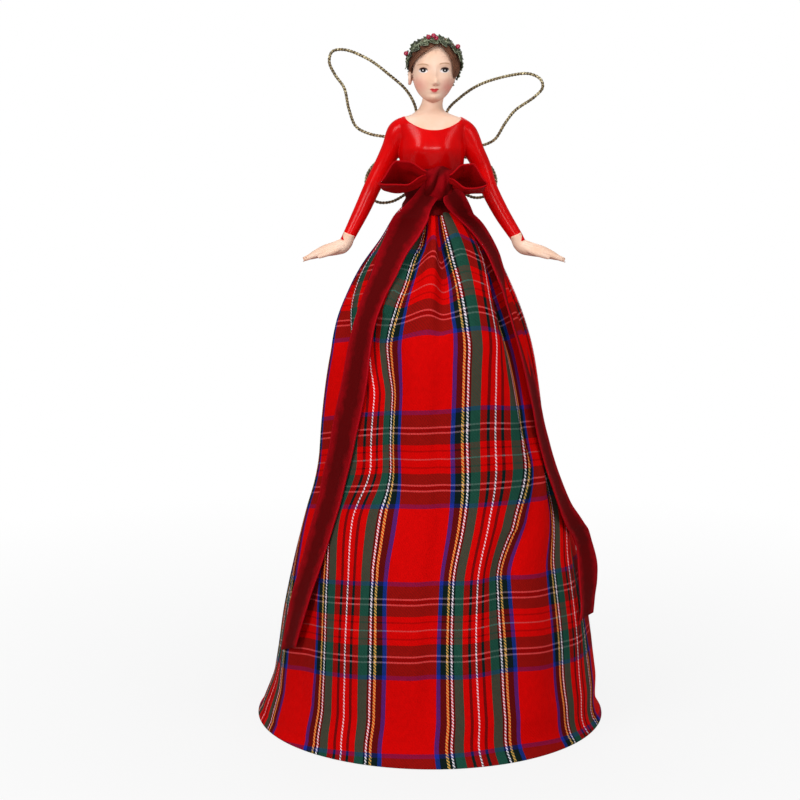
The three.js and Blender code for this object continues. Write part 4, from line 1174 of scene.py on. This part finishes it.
def makeHand(side, turn, material):
    wristX, wristY, wristZ = Vector(figure["wrists"][side])
    reach = handShape["reach"][side]

    def limb(stations, grid):
        return limbSweep([
            (wristX + turn * out * reach, wristY + y, wristZ + up, high, deep)
            for out, up, y, high, deep in stations
        ], *grid)
    palm = [(out, up, handShape["middleY"], high, deep) for out, up, high, deep in handShape["palm"]]
    thumb = [(out, up, y, r, r) for out, up, y, r in handShape["thumb"]]
    parts = [limb(palm, handShape["palmGrid"]), limb(thumb, handShape["fingerGrid"])]
    parts += [limb(fingerStations(*finger), handShape["fingerGrid"]) for finger in handShape["fingers"]]
    hand = castShape("hand" + side.title(), parts, handShape, material)
    finishPiece(hand, "skin_paint", "figure", "hand_" + side)


# Hair: a sculpted shell that is parted off the middle, and open over the face

hairShape = {
    "thickness": 1.55,
    "rise": 1.6,
    "bottom": 0.16,
    "voxel": 0.24 * mm,
    "softness": 5,
    "grid": (120, 80),
    "parting": 3.2,
    "paintParting": 2.4,
    # x and level along the hairline, from beside one ear over the forehead to the other side
    "hairline": [
        (-10.6, 256.0), (-9.6, 260.5), (-8.9, 264.6), (-8.0, 267.0), (-6.9, 269.2), (-4.4, 271.7),
        (-0.9, 274.3), (2.6, 276.0), (4.9, 274.2), (6.9, 271.6), (8.1, 269.0), (8.5, 266.0), (8.5, 263.0),
        (9.1, 260.6), (9.9, 256.0),
    ],
    "openBelow": 245,              # the opening over the face: its lower edge, its back and how deep it is
    "openBack": -1.4,
    "openDepth": 24 * mm,
    "skullGap": 0.1,
    "earRoom": (2.4, 2.1, 3.0),
    "top": 1.04,
    "earTuck": 0.7,
    "partingLevels": (262, 275),
    "crown": 264,                  # the locks run round this level
    "sweep": 5.5,                  # how far back they sweep
    "wave": (0.5, 0.16),           # depth, grain
    "lockRise": 0.26,
    "lockWidth": 1.9,
    "lockPower": 0.7,
    "strandRise": 0.07,
    "strandCount": 3.4,            # strands in a lock
    "swell": 0.08,
}


def hairSweep():                   # the skull grown by the hair, which thins out down to the ears
    wide, deep, forward = tableCurves(headShape["profile"])

    def place(across, along):
        share = mix(hairShape["bottom"], hairShape["top"], math.sin(math.pi / 2 * along))
        turn = across * 2 * math.pi
        closing = math.sqrt(clamp(wide(share) / 0.45)) if share > 0.8 else 1
        thick = hairShape["thickness"] * closing
        aside = thick * ease(share, 0.36, 0.54) - hairShape["earTuck"] * (1 - ease(share, 0.24, 0.38))
        middle = -forward(share) * headShape["halfDepth"] + 0.3 * thick
        z = headShape["chin"] + headShape["height"] * share
        z += hairShape["rise"] * ease(share, 0.5, hairShape["top"])
        return Vector((
            figure["centreX"] + (headShape["halfWidth"] * wide(share) + aside) * math.sin(turn),
            middle - (headShape["halfDepth"] * deep(share) + thick) * math.cos(turn), z
        ))
    return surfaceGrid(*hairShape["grid"], place, joined=True, capped=True)


def lockPhase(point):              # the same along one lock of hair, from the parting back over the ear
    x, y, z = [value / mm for value in point]
    low, high = hairShape["partingLevels"]
    parting = hairShape["parting"] * ease(z, low, high)
    aside = abs(x - parting - figure["centreX"] * ease(high - z, 0, high - low))
    arc = math.atan2(aside, z - hairShape["crown"])
    depth, grain = hairShape["wave"]
    wave = depth * noise.noise(Vector((x * grain, y * grain, z * grain)))
    return (y - hairShape["sweep"] * arc) / hairShape["lockWidth"] + wave


def faceCutter():                  # a block below the hairline, in front of the face
    corners = hairShape["hairline"]
    xAt, zAt = tableCurves([(i, x, z) for i, (x, z) in enumerate(corners)])

    def place(across, along):
        at = across * (len(corners) - 1)
        return Vector((xAt(at), hairShape["openBack"], mix(hairShape["openBelow"], zAt(at), along))) * mm
    opening = surfaceGrid(90, 1, place)
    grown = bmesh.ops.extrude_face_region(opening, geom=opening.faces[:])
    ahead = [item for item in grown["geom"] if isinstance(item, bmesh.types.BMVert)]
    bmesh.ops.translate(opening, verts=ahead, vec=(0, -hairShape["openDepth"], 0))
    bmesh.ops.recalc_face_normals(opening, faces=opening.faces)
    return makePiece("faceCutter", opening, None)


def earCutter():
    bm = bmesh.new()
    bmesh.ops.create_uvsphere(bm, u_segments=32, v_segments=24, radius=1)
    for vert in bm.verts:
        room = Vector([side * size for side, size in zip(vert.co, hairShape["earRoom"])])
        vert.co = (Vector(headShape["ear"]["place"]) + room) * mm
    return makePiece("earCutter", bm, None)


def carveLocks(hair):              # valleys between the locks, and finer strands on them
    bm = bmesh.new()
    bm.from_mesh(hair.data)
    bm.normal_update()
    moves = []
    for vert in bm.verts:
        phase = lockPhase(vert.co)
        lock = 1 - abs(math.sin(math.pi * phase)) ** hairShape["lockPower"]
        strand = 0.5 - 0.5 * math.cos(2 * math.pi * phase * hairShape["strandCount"])
        moves.append(-hairShape["lockRise"] * lock - hairShape["strandRise"] * strand + hairShape["swell"])
    for vert, move in zip(bm.verts, moves):
        vert.co += vert.normal * move * mm
    bm.to_mesh(hair.data)
    bm.free()


def makeHair(material):
    hair = millimetrePiece("hairCast", hairSweep(), material)
    skull = millimetrePiece("skullCutter", headSweep(hairShape["skullGap"]), None)
    for cutter in (skull, faceCutter(), earCutter()):
        cutWith(hair, cutter, "DIFFERENCE")
        dropPiece(cutter)
    evenSkin(hair, hairShape["voxel"], hairShape["softness"])
    carveLocks(hair)
    finishPiece(hair, "hair_paint", "figure", "hair")
    print("hair cast", len(hair.data.polygons))


# Holly wreath and berries

wreathShape = {
    "halfWidth": 10.5,
    "halfLength": 12.5,
    "backWidthShare": 0.82,
    "tilt": 52,
    "centre": 267.57,
    "middleY": 1.5,
    "leafLength": 4.7,
    "leafWidth": 3.1,
    "leafTurns": 17,
    "leafPlace": (0.45, 1.2),      # how far out and how far to each side a leaf grows
    "leafRise": (0.45, 0.5, 0.2),  # of its edges, at its middle along, and of its lobes
    "leafLobes": 0.3,
    "leafThickness": 0.28 * mm,
    "vineRadius": 0.8,
    "vineGrid": (10, 150),
    "berryDent": (0.16, 0.3),      # depth, width
    # degrees round the wreath, how far out, radius
    "berries": [(-11, 2.2, 0.95), (-2, 2.6, 0.95), (48, 1.9, 0.95), (-65, 1.9, 0.95), (3, 1.3, 0.85)],
}


def wreathPoint(turn, lift=0.0):
    shape = wreathShape
    flat = -(shape["halfLength"] + lift) * math.cos(turn)
    tilt = math.radians(shape["tilt"])
    narrow = mix(1, shape["backWidthShare"], ease(-math.cos(turn), -0.1, 0.6))
    return Vector((
        figure["centreX"] + (shape["halfWidth"] + lift) * math.sin(turn) * narrow,
        shape["middleY"] + flat * math.cos(tilt), shape["centre"] - flat * math.sin(tilt),
    ))


def wreathAxes(turn, step):        # along the wreath and out of it
    along = (wreathPoint(turn + step) - wreathPoint(turn - step)).normalized()
    return along, (wreathPoint(turn, 1) - wreathPoint(turn)).normalized()


def leafBlade():
    edgeRise, arch, lobeRise = wreathShape["leafRise"]

    def place(across, along):
        half = wreathShape["leafWidth"] / 2 * math.sin(math.pi * clamp(along, 0.02, 0.98)) ** 0.75
        lobes = math.cos(6 * math.pi * along)
        half *= 1 + wreathShape["leafLobes"] * lobes
        side = 2 * across - 1
        rise = edgeRise * side * side - arch * (2 * along - 1) ** 2 + lobeRise * side * side * lobes
        return Vector(((along - 0.5) * wreathShape["leafLength"], side * half, rise))
    return surfaceGrid(4, 12, place)


def makeLeaf(chance, turn, sideways):
    along, out = wreathAxes(turn, 0.05)
    across = out.cross(along).normalized()
    aim = along * 0.75 + across * sideways * chance.uniform(0.45, 0.85)
    aim = (aim + out * chance.uniform(-0.1, 0.25)).normalized()
    edge = out.cross(aim).normalized()
    size = chance.uniform(0.85, 1.15)
    lift, aside = wreathShape["leafPlace"]
    place = Matrix.Translation(wreathPoint(turn, lift) + across * sideways * aside)
    turnTo = Matrix((aim, edge, aim.cross(edge))).transposed().to_4x4()
    leaf = leafBlade()
    bmesh.ops.transform(leaf, matrix=place @ turnTo @ Matrix.Diagonal((size, size, 1, 1)), verts=leaf.verts)
    return leaf


def vineSweep():
    def place(across, along):
        turn, around = along * 2 * math.pi, across * 2 * math.pi
        ahead, out = wreathAxes(turn, 0.02)
        radius = wreathShape["vineRadius"] * (1 + 0.15 * math.sin(around * 2 + turn * 16))
        return wreathPoint(turn) + (out * math.cos(around) + ahead.cross(out) * math.sin(around)) * radius
    return surfaceGrid(*wreathShape["vineGrid"], place, joined=True)


def makeWreath(material):
    chance = random.Random(7)
    leaves = []
    count = wreathShape["leafTurns"]
    for i in range(count):
        for row, sideways in enumerate((-1, 1)):
            turn = (i + 0.5 * row + chance.uniform(-0.15, 0.15)) / count * 2 * math.pi
            leaves.append(makeLeaf(chance, turn, sideways))
    wreath = millimetrePiece("hollyWreath", joinMeshes(leaves), material)
    addModifier(wreath, "SOLIDIFY", thickness=wreathShape["leafThickness"], offset=0)
    finishPiece(wreath, "leaf_paint", "figure", "wreath")
    stem = millimetrePiece("wreathVine", vineSweep(), material)
    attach(stem, "figure")


def makeBerries(material):
    depth, width = wreathShape["berryDent"]
    for i, (degrees, lift, radius) in enumerate(wreathShape["berries"]):
        bm = bmesh.new()
        bmesh.ops.create_uvsphere(bm, u_segments=32, v_segments=24, radius=radius)
        for vert in bm.verts:
            if vert.co.y < 0:      # the dark dent at the end of a holly berry
                vert.co.y += depth * bell(math.hypot(vert.co.x, vert.co.z), 0, width)
        bmesh.ops.translate(bm, vec=wreathPoint(math.radians(degrees), lift), verts=bm.verts)
        berry = millimetrePiece(f"berry{i + 1}", bm, material)
        finishPiece(berry, "berry_paint", "figure", f"berry_{i + 1}")


# Wire wings, wound with metallic thread

wings = {
    "span": 45,
    "middle": 235.0,
    "postX": 0.4,
    "postY": 12.0,
    "postTop": 243.8,
    "hookDrop": 0.7,
    "hookSpacing": 2.1,
    "hookStart": 0.6,
    "hookRadius": 1.95,
    "hookDegrees": (35, 95, 150, 205),
    "forward": 2,
    "forwardFrom": 0.5,            # share of the span where it is that far forward
    "exit": 5,
    "perSpan": 24,                 # points between two of a route
    "step": 0.21,
    "columns": 12,
    "wireRadius": 0.48,
    "threadRise": 0.18,
    "threadPitch": 1.25,
    "routes": {
        "wing_upper_left": (-1, (0, 2), [
            (-0.145, 0.36), (-0.225, 0.5), (-0.375, 0.634), (-0.555, 0.768), (-0.777, 0.856),
            (-0.884, 0.838), (-0.911, 0.75), (-0.86, 0.634), (-0.78, 0.52), (-0.736, 0.326),
            (-0.674, 0.175), (-0.56, 0.112), (-0.42, 0.085),
        ]),
        "wing_upper_right": (1, (1, 3), [
            (0.145, 0.31), (0.26, 0.432), (0.436, 0.548), (0.702, 0.628), (0.88, 0.643), (0.98, 0.592),
            (0.997, 0.521), (0.927, 0.44), (0.751, 0.316), (0.662, 0.2), (0.573, 0.06), (0.466, 0.008),
            (0.35, -0.005),
        ]),
        "wing_lower_left": (-1, (4, 6), [
            (-0.25, -0.05), (-0.42, -0.095), (-0.513, -0.166), (-0.575, -0.26), (-0.585, -0.36),
            (-0.54, -0.46), (-0.478, -0.505), (-0.37, -0.505), (-0.28, -0.467), (-0.2, -0.4),
        ]),
        "wing_lower_right": (1, (5, 7), [
            (0.25, -0.09), (0.42, -0.13), (0.522, -0.17), (0.57, -0.24), (0.587, -0.33), (0.545, -0.42),
            (0.462, -0.459), (0.389, -0.463), (0.3, -0.43), (0.2, -0.38),
        ]),
    },
}


def wingRoute(side, levels, route):
    def hook(level):
        z = wings["postTop"] - wings["hookDrop"] - wings["hookSpacing"] * (level + wings["hookStart"])
        turns = [math.radians(degrees) for degrees in wings["hookDegrees"]]
        points = [Vector((
            wings["postX"] - side * wings["hookRadius"] * math.cos(turn),
            wings["postY"] + wings["hookRadius"] * math.sin(turn), z
        )) for turn in turns]
        return points + [Vector((wings["postX"] + side * wings["exit"], wings["postY"], z))]
    outline = []
    for x, z in route:
        y = wings["postY"] - wings["forward"] * min(abs(x) / wings["forwardFrom"], 1)
        outline.append(Vector((x * wings["span"], y, wings["middle"] + z * wings["span"])))
    return hook(levels[0]) + outline + hook(levels[1])[::-1]


def catmullRom(points, perSpan):   # a smooth line through points that lie unevenly
    ends = [points[0] * 2 - points[1], *points, points[-1] * 2 - points[-2]]
    line = []
    for a, b, c, d in zip(ends, ends[1:], ends[2:], ends[3:]):
        t1 = (b - a).length ** 0.5
        t2 = t1 + (c - b).length ** 0.5
        t3 = t2 + (d - c).length ** 0.5
        for i in range(perSpan):
            t = mix(t1, t2, i / perSpan)
            middle = b.lerp(c, (t - t1) / (t2 - t1))
            low = a.lerp(b, t / t1).lerp(middle, t / t2)
            high = middle.lerp(c.lerp(d, (t - t2) / (t3 - t2)), (t - t1) / (t3 - t1))
            line.append(low.lerp(high, (t - t1) / (t2 - t1)))
    return line + [points[-1]]


def evenLine(line, step):          # the same line with its points a step apart
    lengths = [0]
    for a, b in zip(line, line[1:]):
        lengths.append(lengths[-1] + (b - a).length)
    count = max(round(lengths[-1] / step), 2)
    even, k = [], 0
    for i in range(count + 1):
        at = lengths[-1] * i / count
        while k < len(line) - 2 and lengths[k + 1] < at:
            k += 1
        span = max(lengths[k + 1] - lengths[k], 1e-9)
        even.append(line[k].lerp(line[k + 1], (at - lengths[k]) / span))
    return even


def woundTube(line, step):
    # a tube whose skin rises in the two threads that are wound round it; its map holds turns and length
    points = evenLine(line, step)
    last = len(points) - 1
    ahead = [(points[min(i + 1, last)] - points[max(i - 1, 0)]).normalized() for i in range(last + 1)]
    sides = [ahead[0].orthogonal().normalized()]
    for direction in ahead[1:]:
        sides.append((sides[-1] - direction * sides[-1].dot(direction)).normalized())

    def place(across, along):
        i = round(along * last)
        turn = across * 2 * math.pi
        wound = math.sin(turn + math.pi * i * step / wings["threadPitch"])
        radius = wings["wireRadius"] + wings["threadRise"] * wound * wound
        side = sides[i]
        return points[i] + (side * math.cos(turn) + ahead[i].cross(side) * math.sin(turn)) * radius
    columns = wings["columns"]
    return surfaceGrid(columns, last, place, lambda s, t: (s, t * last * step), joined=True, capped=True)


def makeWings(material):
    for name, (side, levels, route) in wings["routes"].items():
        line = catmullRom(wingRoute(side, levels, route), wings["perSpan"])
        level, hand = name.split("_")[1:]
        tube = woundTube(line, wings["step"])
        wing = millimetrePiece("wing" + level.title() + hand.title(), tube, material)
        finishPiece(wing, "metallic_wire", f"{level}_{hand}_wing", name)
    print("wings wound")


# Paint, leaf, wire and hidden finishes

facePaint = {
    "skin": (246, 210, 188),
    # painted one after the other, each with its colour and strength at the end
    # oval: x, level, half width, half height, softness
    # arc over the top of a circle: x and level of its middle, radius, half width of the line, reach
    "strokes": [
        ("oval", [
            (-5.3, 260.2, 2.3, 2.2, 0.95, (244, 116, 112), 0.42),
            (6.6, 259.4, 2.3, 2.4, 0.95, (232, 106, 108), 0.5),
            (-3.4, 267.3, 2.4, 1.0, 0.8, (226, 180, 150), 0.5),
            (5.0, 267.4, 2.4, 1.0, 0.8, (222, 172, 142), 0.5),
        ]),
        ("arc", [
            (-3.5, 263.2, 5.2, 0.24, 2.5, (176, 128, 88), 0.65),
            (5.0, 263.6, 5.2, 0.24, 2.3, (170, 118, 78), 0.75),
            (-3.3, 268.2, 3.1, 0.14, 1.2, (214, 168, 150), 0.5),
            (5.1, 268.3, 3.1, 0.14, 1.2, (214, 168, 150), 0.5),
        ]),
        ("oval", [
            (-3.35, 265.75, 1.8, 0.8, 0.16, (248, 236, 234), 0.95),
            (5.0, 265.8, 1.85, 0.8, 0.16, (248, 236, 234), 0.95),
            (-3.45, 266.1, 1.12, 0.94, 0.14, (14, 6, 6), 1), (5.25, 266.15, 1.12, 0.94, 0.14, (14, 6, 6), 1),
            (-3.5, 266.0, 0.24, 0.26, 0.3, (255, 250, 250), 1),
            (5.15, 266.0, 0.2, 0.22, 0.3, (255, 250, 250), 1),
            (0.15, 258.55, 0.85, 0.42, 0.3, (206, 46, 52), 0.95),
            (1.85, 258.55, 0.85, 0.42, 0.3, (198, 42, 48), 0.95),
            (1.0, 258.05, 1.15, 0.62, 0.3, (208, 44, 52), 0.95),
            # painted highlight: a lighter spot on the middle of the lower lip
            (1.0, 257.75, 0.5, 0.22, 0.7, (232, 110, 110), 0.5),
            (0.85, 260.15, 0.35, 0.2, 0.6, (190, 130, 105), 0.6),
            (2.15, 260.15, 0.35, 0.2, 0.6, (190, 130, 105), 0.6),
            (-7.75, 262.2, 0.4, 2.8, 0.5, (96, 52, 34), 0.9),
        ]),
        ("arc", [
            (-3.35, 264.6, 2.25, 0.3, 1.9, (46, 20, 14), 1), (5.1, 264.7, 2.25, 0.3, 1.9, (46, 20, 14), 1),
        ]),
    ],
}


def fromMiddle(group, start):      # across and up from the middle of a painted mark
    return [doMath(group, "SUBTRACT", start[axis], start["Middle" + axis]) for axis in ("X", "Z")]


def rootOfSquares(group, across, up):        # the distance that two lengths at a right angle span
    across, up = [doMath(group, "POWER", value, 2) for value in (across, up)]
    return doMath(group, "SQRT", doMath(group, "ADD", across, up))


def makeOvalGroup():               # 1 inside, fading out at its rim
    group, start, end = newGroup("paintedOval", "X Z MiddleX MiddleZ HalfWidth HalfHeight Softness", "Mask")
    across, up = fromMiddle(group, start)
    across = doMath(group, "DIVIDE", across, start["HalfWidth"])
    reach = rootOfSquares(group, across, doMath(group, "DIVIDE", up, start["HalfHeight"]))
    inner = doMath(group, "SUBTRACT", 1, start["Softness"])
    outer = doMath(group, "ADD", 1, start["Softness"])
    feed(group, end["Mask"], spread(group, reach, inner, outer, 1, 0))
    return group


def makeArcGroup():
    group, start, end = newGroup("paintedArc", "X Z MiddleX MiddleZ Radius HalfLine Reach", "Mask")
    across, up = fromMiddle(group, start)
    off = doMath(group, "SUBTRACT", rootOfSquares(group, across, up), start["Radius"])
    thin = doMath(group, "MULTIPLY", start["HalfLine"], 0.4)
    thick = doMath(group, "MULTIPLY", start["HalfLine"], 1.5)
    line = spread(group, doMath(group, "ABSOLUTE", off), thin, thick, 1, 0)
    fading = doMath(group, "MULTIPLY", start["Reach"], 0.7)
    near = spread(group, doMath(group, "ABSOLUTE", across), fading, start["Reach"], 1, 0)
    above = doMath(group, "GREATER_THAN", up, 0)
    feed(group, end["Mask"], doMath(group, "MULTIPLY", doMath(group, "MULTIPLY", line, near), above))
    return group


def makeSkin():
    groups = {"oval": makeOvalGroup(), "arc": makeArcGroup()}
    material, tree, shader = newMaterial("paintedSkin", {"Roughness": 0.5, "Specular IOR Level": 0.14})
    x, y, z = millimetrePlace(tree)
    front = doMath(tree, "LESS_THAN", y, -1.0)
    mottle = noiseAt(tree, objectPlace(tree), 160, 2)
    colour = mixColour(tree, spread(tree, mottle, 0.35, 0.7), srgb(*facePaint["skin"]), srgb(243, 198, 170))
    # painted shade: skin that faces downwards, under the chin and the hands, is mixed darker
    undersideShade = splitVector(tree, addNode(tree, "NewGeometry").outputs["Normal"])[2]
    colour = mixColour(tree, spread(tree, undersideShade, -0.25, -0.95, 0, 0.6), colour, srgb(208, 128, 112))
    for kind, rows in facePaint["strokes"]:
        for *shape, paint, strength in rows:
            mask = useGroup(tree, groups[kind], x, z, *shape)["Mask"]
            mask = doMath(tree, "MULTIPLY", mask, doMath(tree, "MULTIPLY", front, strength))
            colour = mixColour(tree, mask, colour, srgb(*paint))
    coat(tree, shader, colour, noiseAt(tree, objectPlace(tree), 900, 2), 0.08, 0.05 * mm)
    return material


enamel = {    # painted shade: darker at the waist, under the bust, where less light falls
    "waistShadeLevels": (220 * mm, 236 * mm),
    "waistShadeReach": (11.5 * mm, 15 * mm),
}


def makeRedEnamel():
    material, tree, shader = newMaterial("redEnamel", {"Specular IOR Level": 0.14})
    pooled = noiseAt(tree, objectPlace(tree), 120, 2)
    place = splitVector(tree, objectPlace(tree))
    # painted shade: the enamel turns dark red low at the waist, near the middle
    low = spread(tree, place["Z"], *enamel["waistShadeLevels"], 1, 0)
    near = spread(tree, doMath(tree, "ABSOLUTE", place["X"]), *enamel["waistShadeReach"], 1, 0)
    waist = doMath(tree, "MULTIPLY", low, near)
    red = mixColour(tree, spread(tree, pooled, 0.3, 0.7), srgb(205, 3, 5), srgb(224, 6, 7))
    brushed = noiseAt(tree, objectPlace(tree), 420, 3)
    feed(tree, shader.inputs["Roughness"], spread(tree, brushed, 0.3, 0.7, 0.18, 0.26))
    coat(tree, shader, mixColour(tree, waist, red, srgb(116, 0, 2)), pooled, 0.12, 0.4 * mm)
    return material


def makeHairPaint():
    material, tree, shader = newMaterial("hairPaint", {"Roughness": 0.55, "Specular IOR Level": 0.2})
    x, y, z = millimetrePlace(tree)
    aside = doMath(tree, "ABSOLUTE", doMath(tree, "SUBTRACT", x, hairShape["paintParting"]))
    arc = doMath(tree, "ARCTAN2", aside, doMath(tree, "SUBTRACT", z, hairShape["crown"]))
    wave = noiseAt(tree, objectPlace(tree), 160, 2)
    back = doMath(tree, "SUBTRACT", y, doMath(tree, "MULTIPLY", arc, hairShape["sweep"]))
    phase = doMath(tree, "ADD", doMath(tree, "DIVIDE", back, hairShape["lockWidth"]), wave)
    strand = doMath(tree, "SINE", doMath(tree, "MULTIPLY", phase, 2 * math.pi * 5))
    lit = spread(tree, doMath(tree, "ADD", strand, doMath(tree, "MULTIPLY", wave, 2)), 0, 2.4)
    brown = mixColour(tree, lit, srgb(66, 38, 28), srgb(146, 96, 70))
    coat(tree, shader, brown, spread(tree, strand, -1, 1), 0.55, 0.14 * mm)
    return material


def makeLeafPaint():               # its rim and its middle vein are brushed lighter
    material, tree, shader = newMaterial("leafPaint", {"Roughness": 0.55, "Specular IOR Level": 0.35})
    across = splitVector(tree, clothPlace(tree))[0]
    fromVein = doMath(tree, "ABSOLUTE", doMath(tree, "SUBTRACT", across, 0.5))
    patch = noiseAt(tree, objectPlace(tree), 380, 3)
    green = mixColour(tree, spread(tree, patch, 0.35, 0.65), srgb(30, 32, 24), srgb(76, 84, 58))
    rim, vein = spread(tree, fromVein, 0.38, 0.5), spread(tree, fromVein, 0.0, 0.07, 1, 0)
    brushed = doMath(tree, "MAXIMUM", rim, vein)
    brushed = doMath(tree, "MULTIPLY", brushed, spread(tree, patch, 0.4, 0.6, 0.2, 0.8))
    coat(tree, shader, mixColour(tree, brushed, green, srgb(172, 180, 150)), patch, 0.4, 0.15 * mm)
    return material


def makeBerryPaint():
    material, tree, shader = newMaterial("berryPaint", {"Roughness": 0.22, "Specular IOR Level": 0.5})
    patch = spread(tree, noiseAt(tree, objectPlace(tree), 500, 2), 0.35, 0.65)
    feed(tree, shader.inputs["Base Color"], mixColour(tree, patch, srgb(146, 12, 46), srgb(186, 32, 74)))
    return material


def makeWoundThread():
    material, tree, shader = newMaterial("woundMetallicThread", {"Metallic": 0.45, "Roughness": 0.38})
    around, length = splitVector(tree, clothPlace(tree))[:2]
    around = doMath(tree, "MULTIPLY", around, 2 * math.pi)
    length = doMath(tree, "MULTIPLY", length, math.pi / wings["threadPitch"])
    ridge = doMath(tree, "POWER", doMath(tree, "SINE", doMath(tree, "ADD", around, length)), 2)
    fleck = noiseAt(tree, objectPlace(tree), 1300, 2)
    gold = mixColour(tree, spread(tree, fleck, 0.42, 0.6), srgb(150, 128, 84), srgb(236, 222, 178))
    patch = noiseAt(tree, objectPlace(tree), 420, 2)
    dark = doMath(tree, "MULTIPLY", spread(tree, patch, 0.42, 0.58), 0.75)
    gold = mixColour(tree, dark, gold, srgb(84, 68, 46))
    colour = mixColour(tree, spread(tree, ridge, 0.05, 0.45), srgb(58, 46, 32), gold)
    grain = doMath(tree, "ADD", ridge, doMath(tree, "MULTIPLY", fleck, 0.6))
    coat(tree, shader, colour, grain, 0.5, 0.12 * mm)
    return material


def makeGrainGroup():              # fine speckle for the plain hidden materials
    group, start, end = newGroup("fineGrain", "Place Scale", "Shade Height")
    speckle = noiseAt(group, start["Place"], start["Scale"], 4)
    feed(group, end["Shade"], spread(group, speckle, 0.3, 0.7))
    feed(group, end["Height"], speckle)
    return group


# node names, dark and light colour, roughness, metallic, stretch of the grain, its scale and its bump
hiddenFinishes = {
    "greyCard": (("cone_former",), (168, 150, 118), (196, 178, 144), 0.85, 0, (1, 1, 1), 700, 0.3),
    "mouldedPlastic": (("cone_plug",), (214, 208, 194), (226, 221, 208), 0.45, 0, (1, 1, 1), 400, 0.08),
    "turnedWood": (("torso_dowel",), (178, 132, 82), (206, 164, 110), 0.6, 0, (1, 1, 0.08), 900, 0.2),
    "steelWire": (("hem_hoop", "wing_staple"), (150, 150, 152), (190, 190, 192), 0.32, 1, (1, 1, 1), 600, 0.1),
}


def paintHiddenNodes():
    grain = makeGrainGroup()
    for name, (names, dark, light, roughness, metallic, stretch, scale, bump) in hiddenFinishes.items():
        material, tree, shader = newMaterial(name, {"Roughness": roughness, "Metallic": metallic})
        mapping = addNode(tree, "Mapping")
        feed(tree, mapping.inputs[0], objectPlace(tree))
        feed(tree, mapping.inputs["Scale"], stretch)
        speckle = useGroup(tree, grain, mapping.outputs[0], scale)
        colour = mixColour(tree, speckle["Shade"], srgb(*dark), srgb(*light))
        coat(tree, shader, colour, speckle["Height"], bump, 0.1 * mm)
        for node in names:
            nodes[node].data.materials.clear()
            nodes[node].data.materials.append(material)
    print("hidden pieces painted")


makeStudio()
velvet = makeVelvet("redVelvet", (88, 0, 2), (140, 0, 10), (165, 5, 20))
# a lighter copy of the velvet for the bow loops: painted light in their shaded hollows
litBowVelvet = makeVelvet("litBowVelvet", (148, 0, 4), (156, 0, 6), (166, 3, 12))
makeSkirt(makeTartan())
for side in ("left", "right"):
    makeTail(side, velvet)
    makeLoop(side, litBowVelvet)
makeKnot(velvet)
makeSash(velvet)

redEnamel, paintedSkin = makeRedEnamel(), makeSkin()
cutter = necklineCutter()
makeDress(redEnamel, cutter)
makeHead(paintedSkin, cutter)
dropPiece(cutter)
for side, turn in (("left", -1), ("right", 1)):
    makeHand(side, turn, paintedSkin)
makeHair(makeHairPaint())
makeWreath(makeLeafPaint())
makeBerries(makeBerryPaint())
makeWings(makeWoundThread())
paintHiddenNodes()
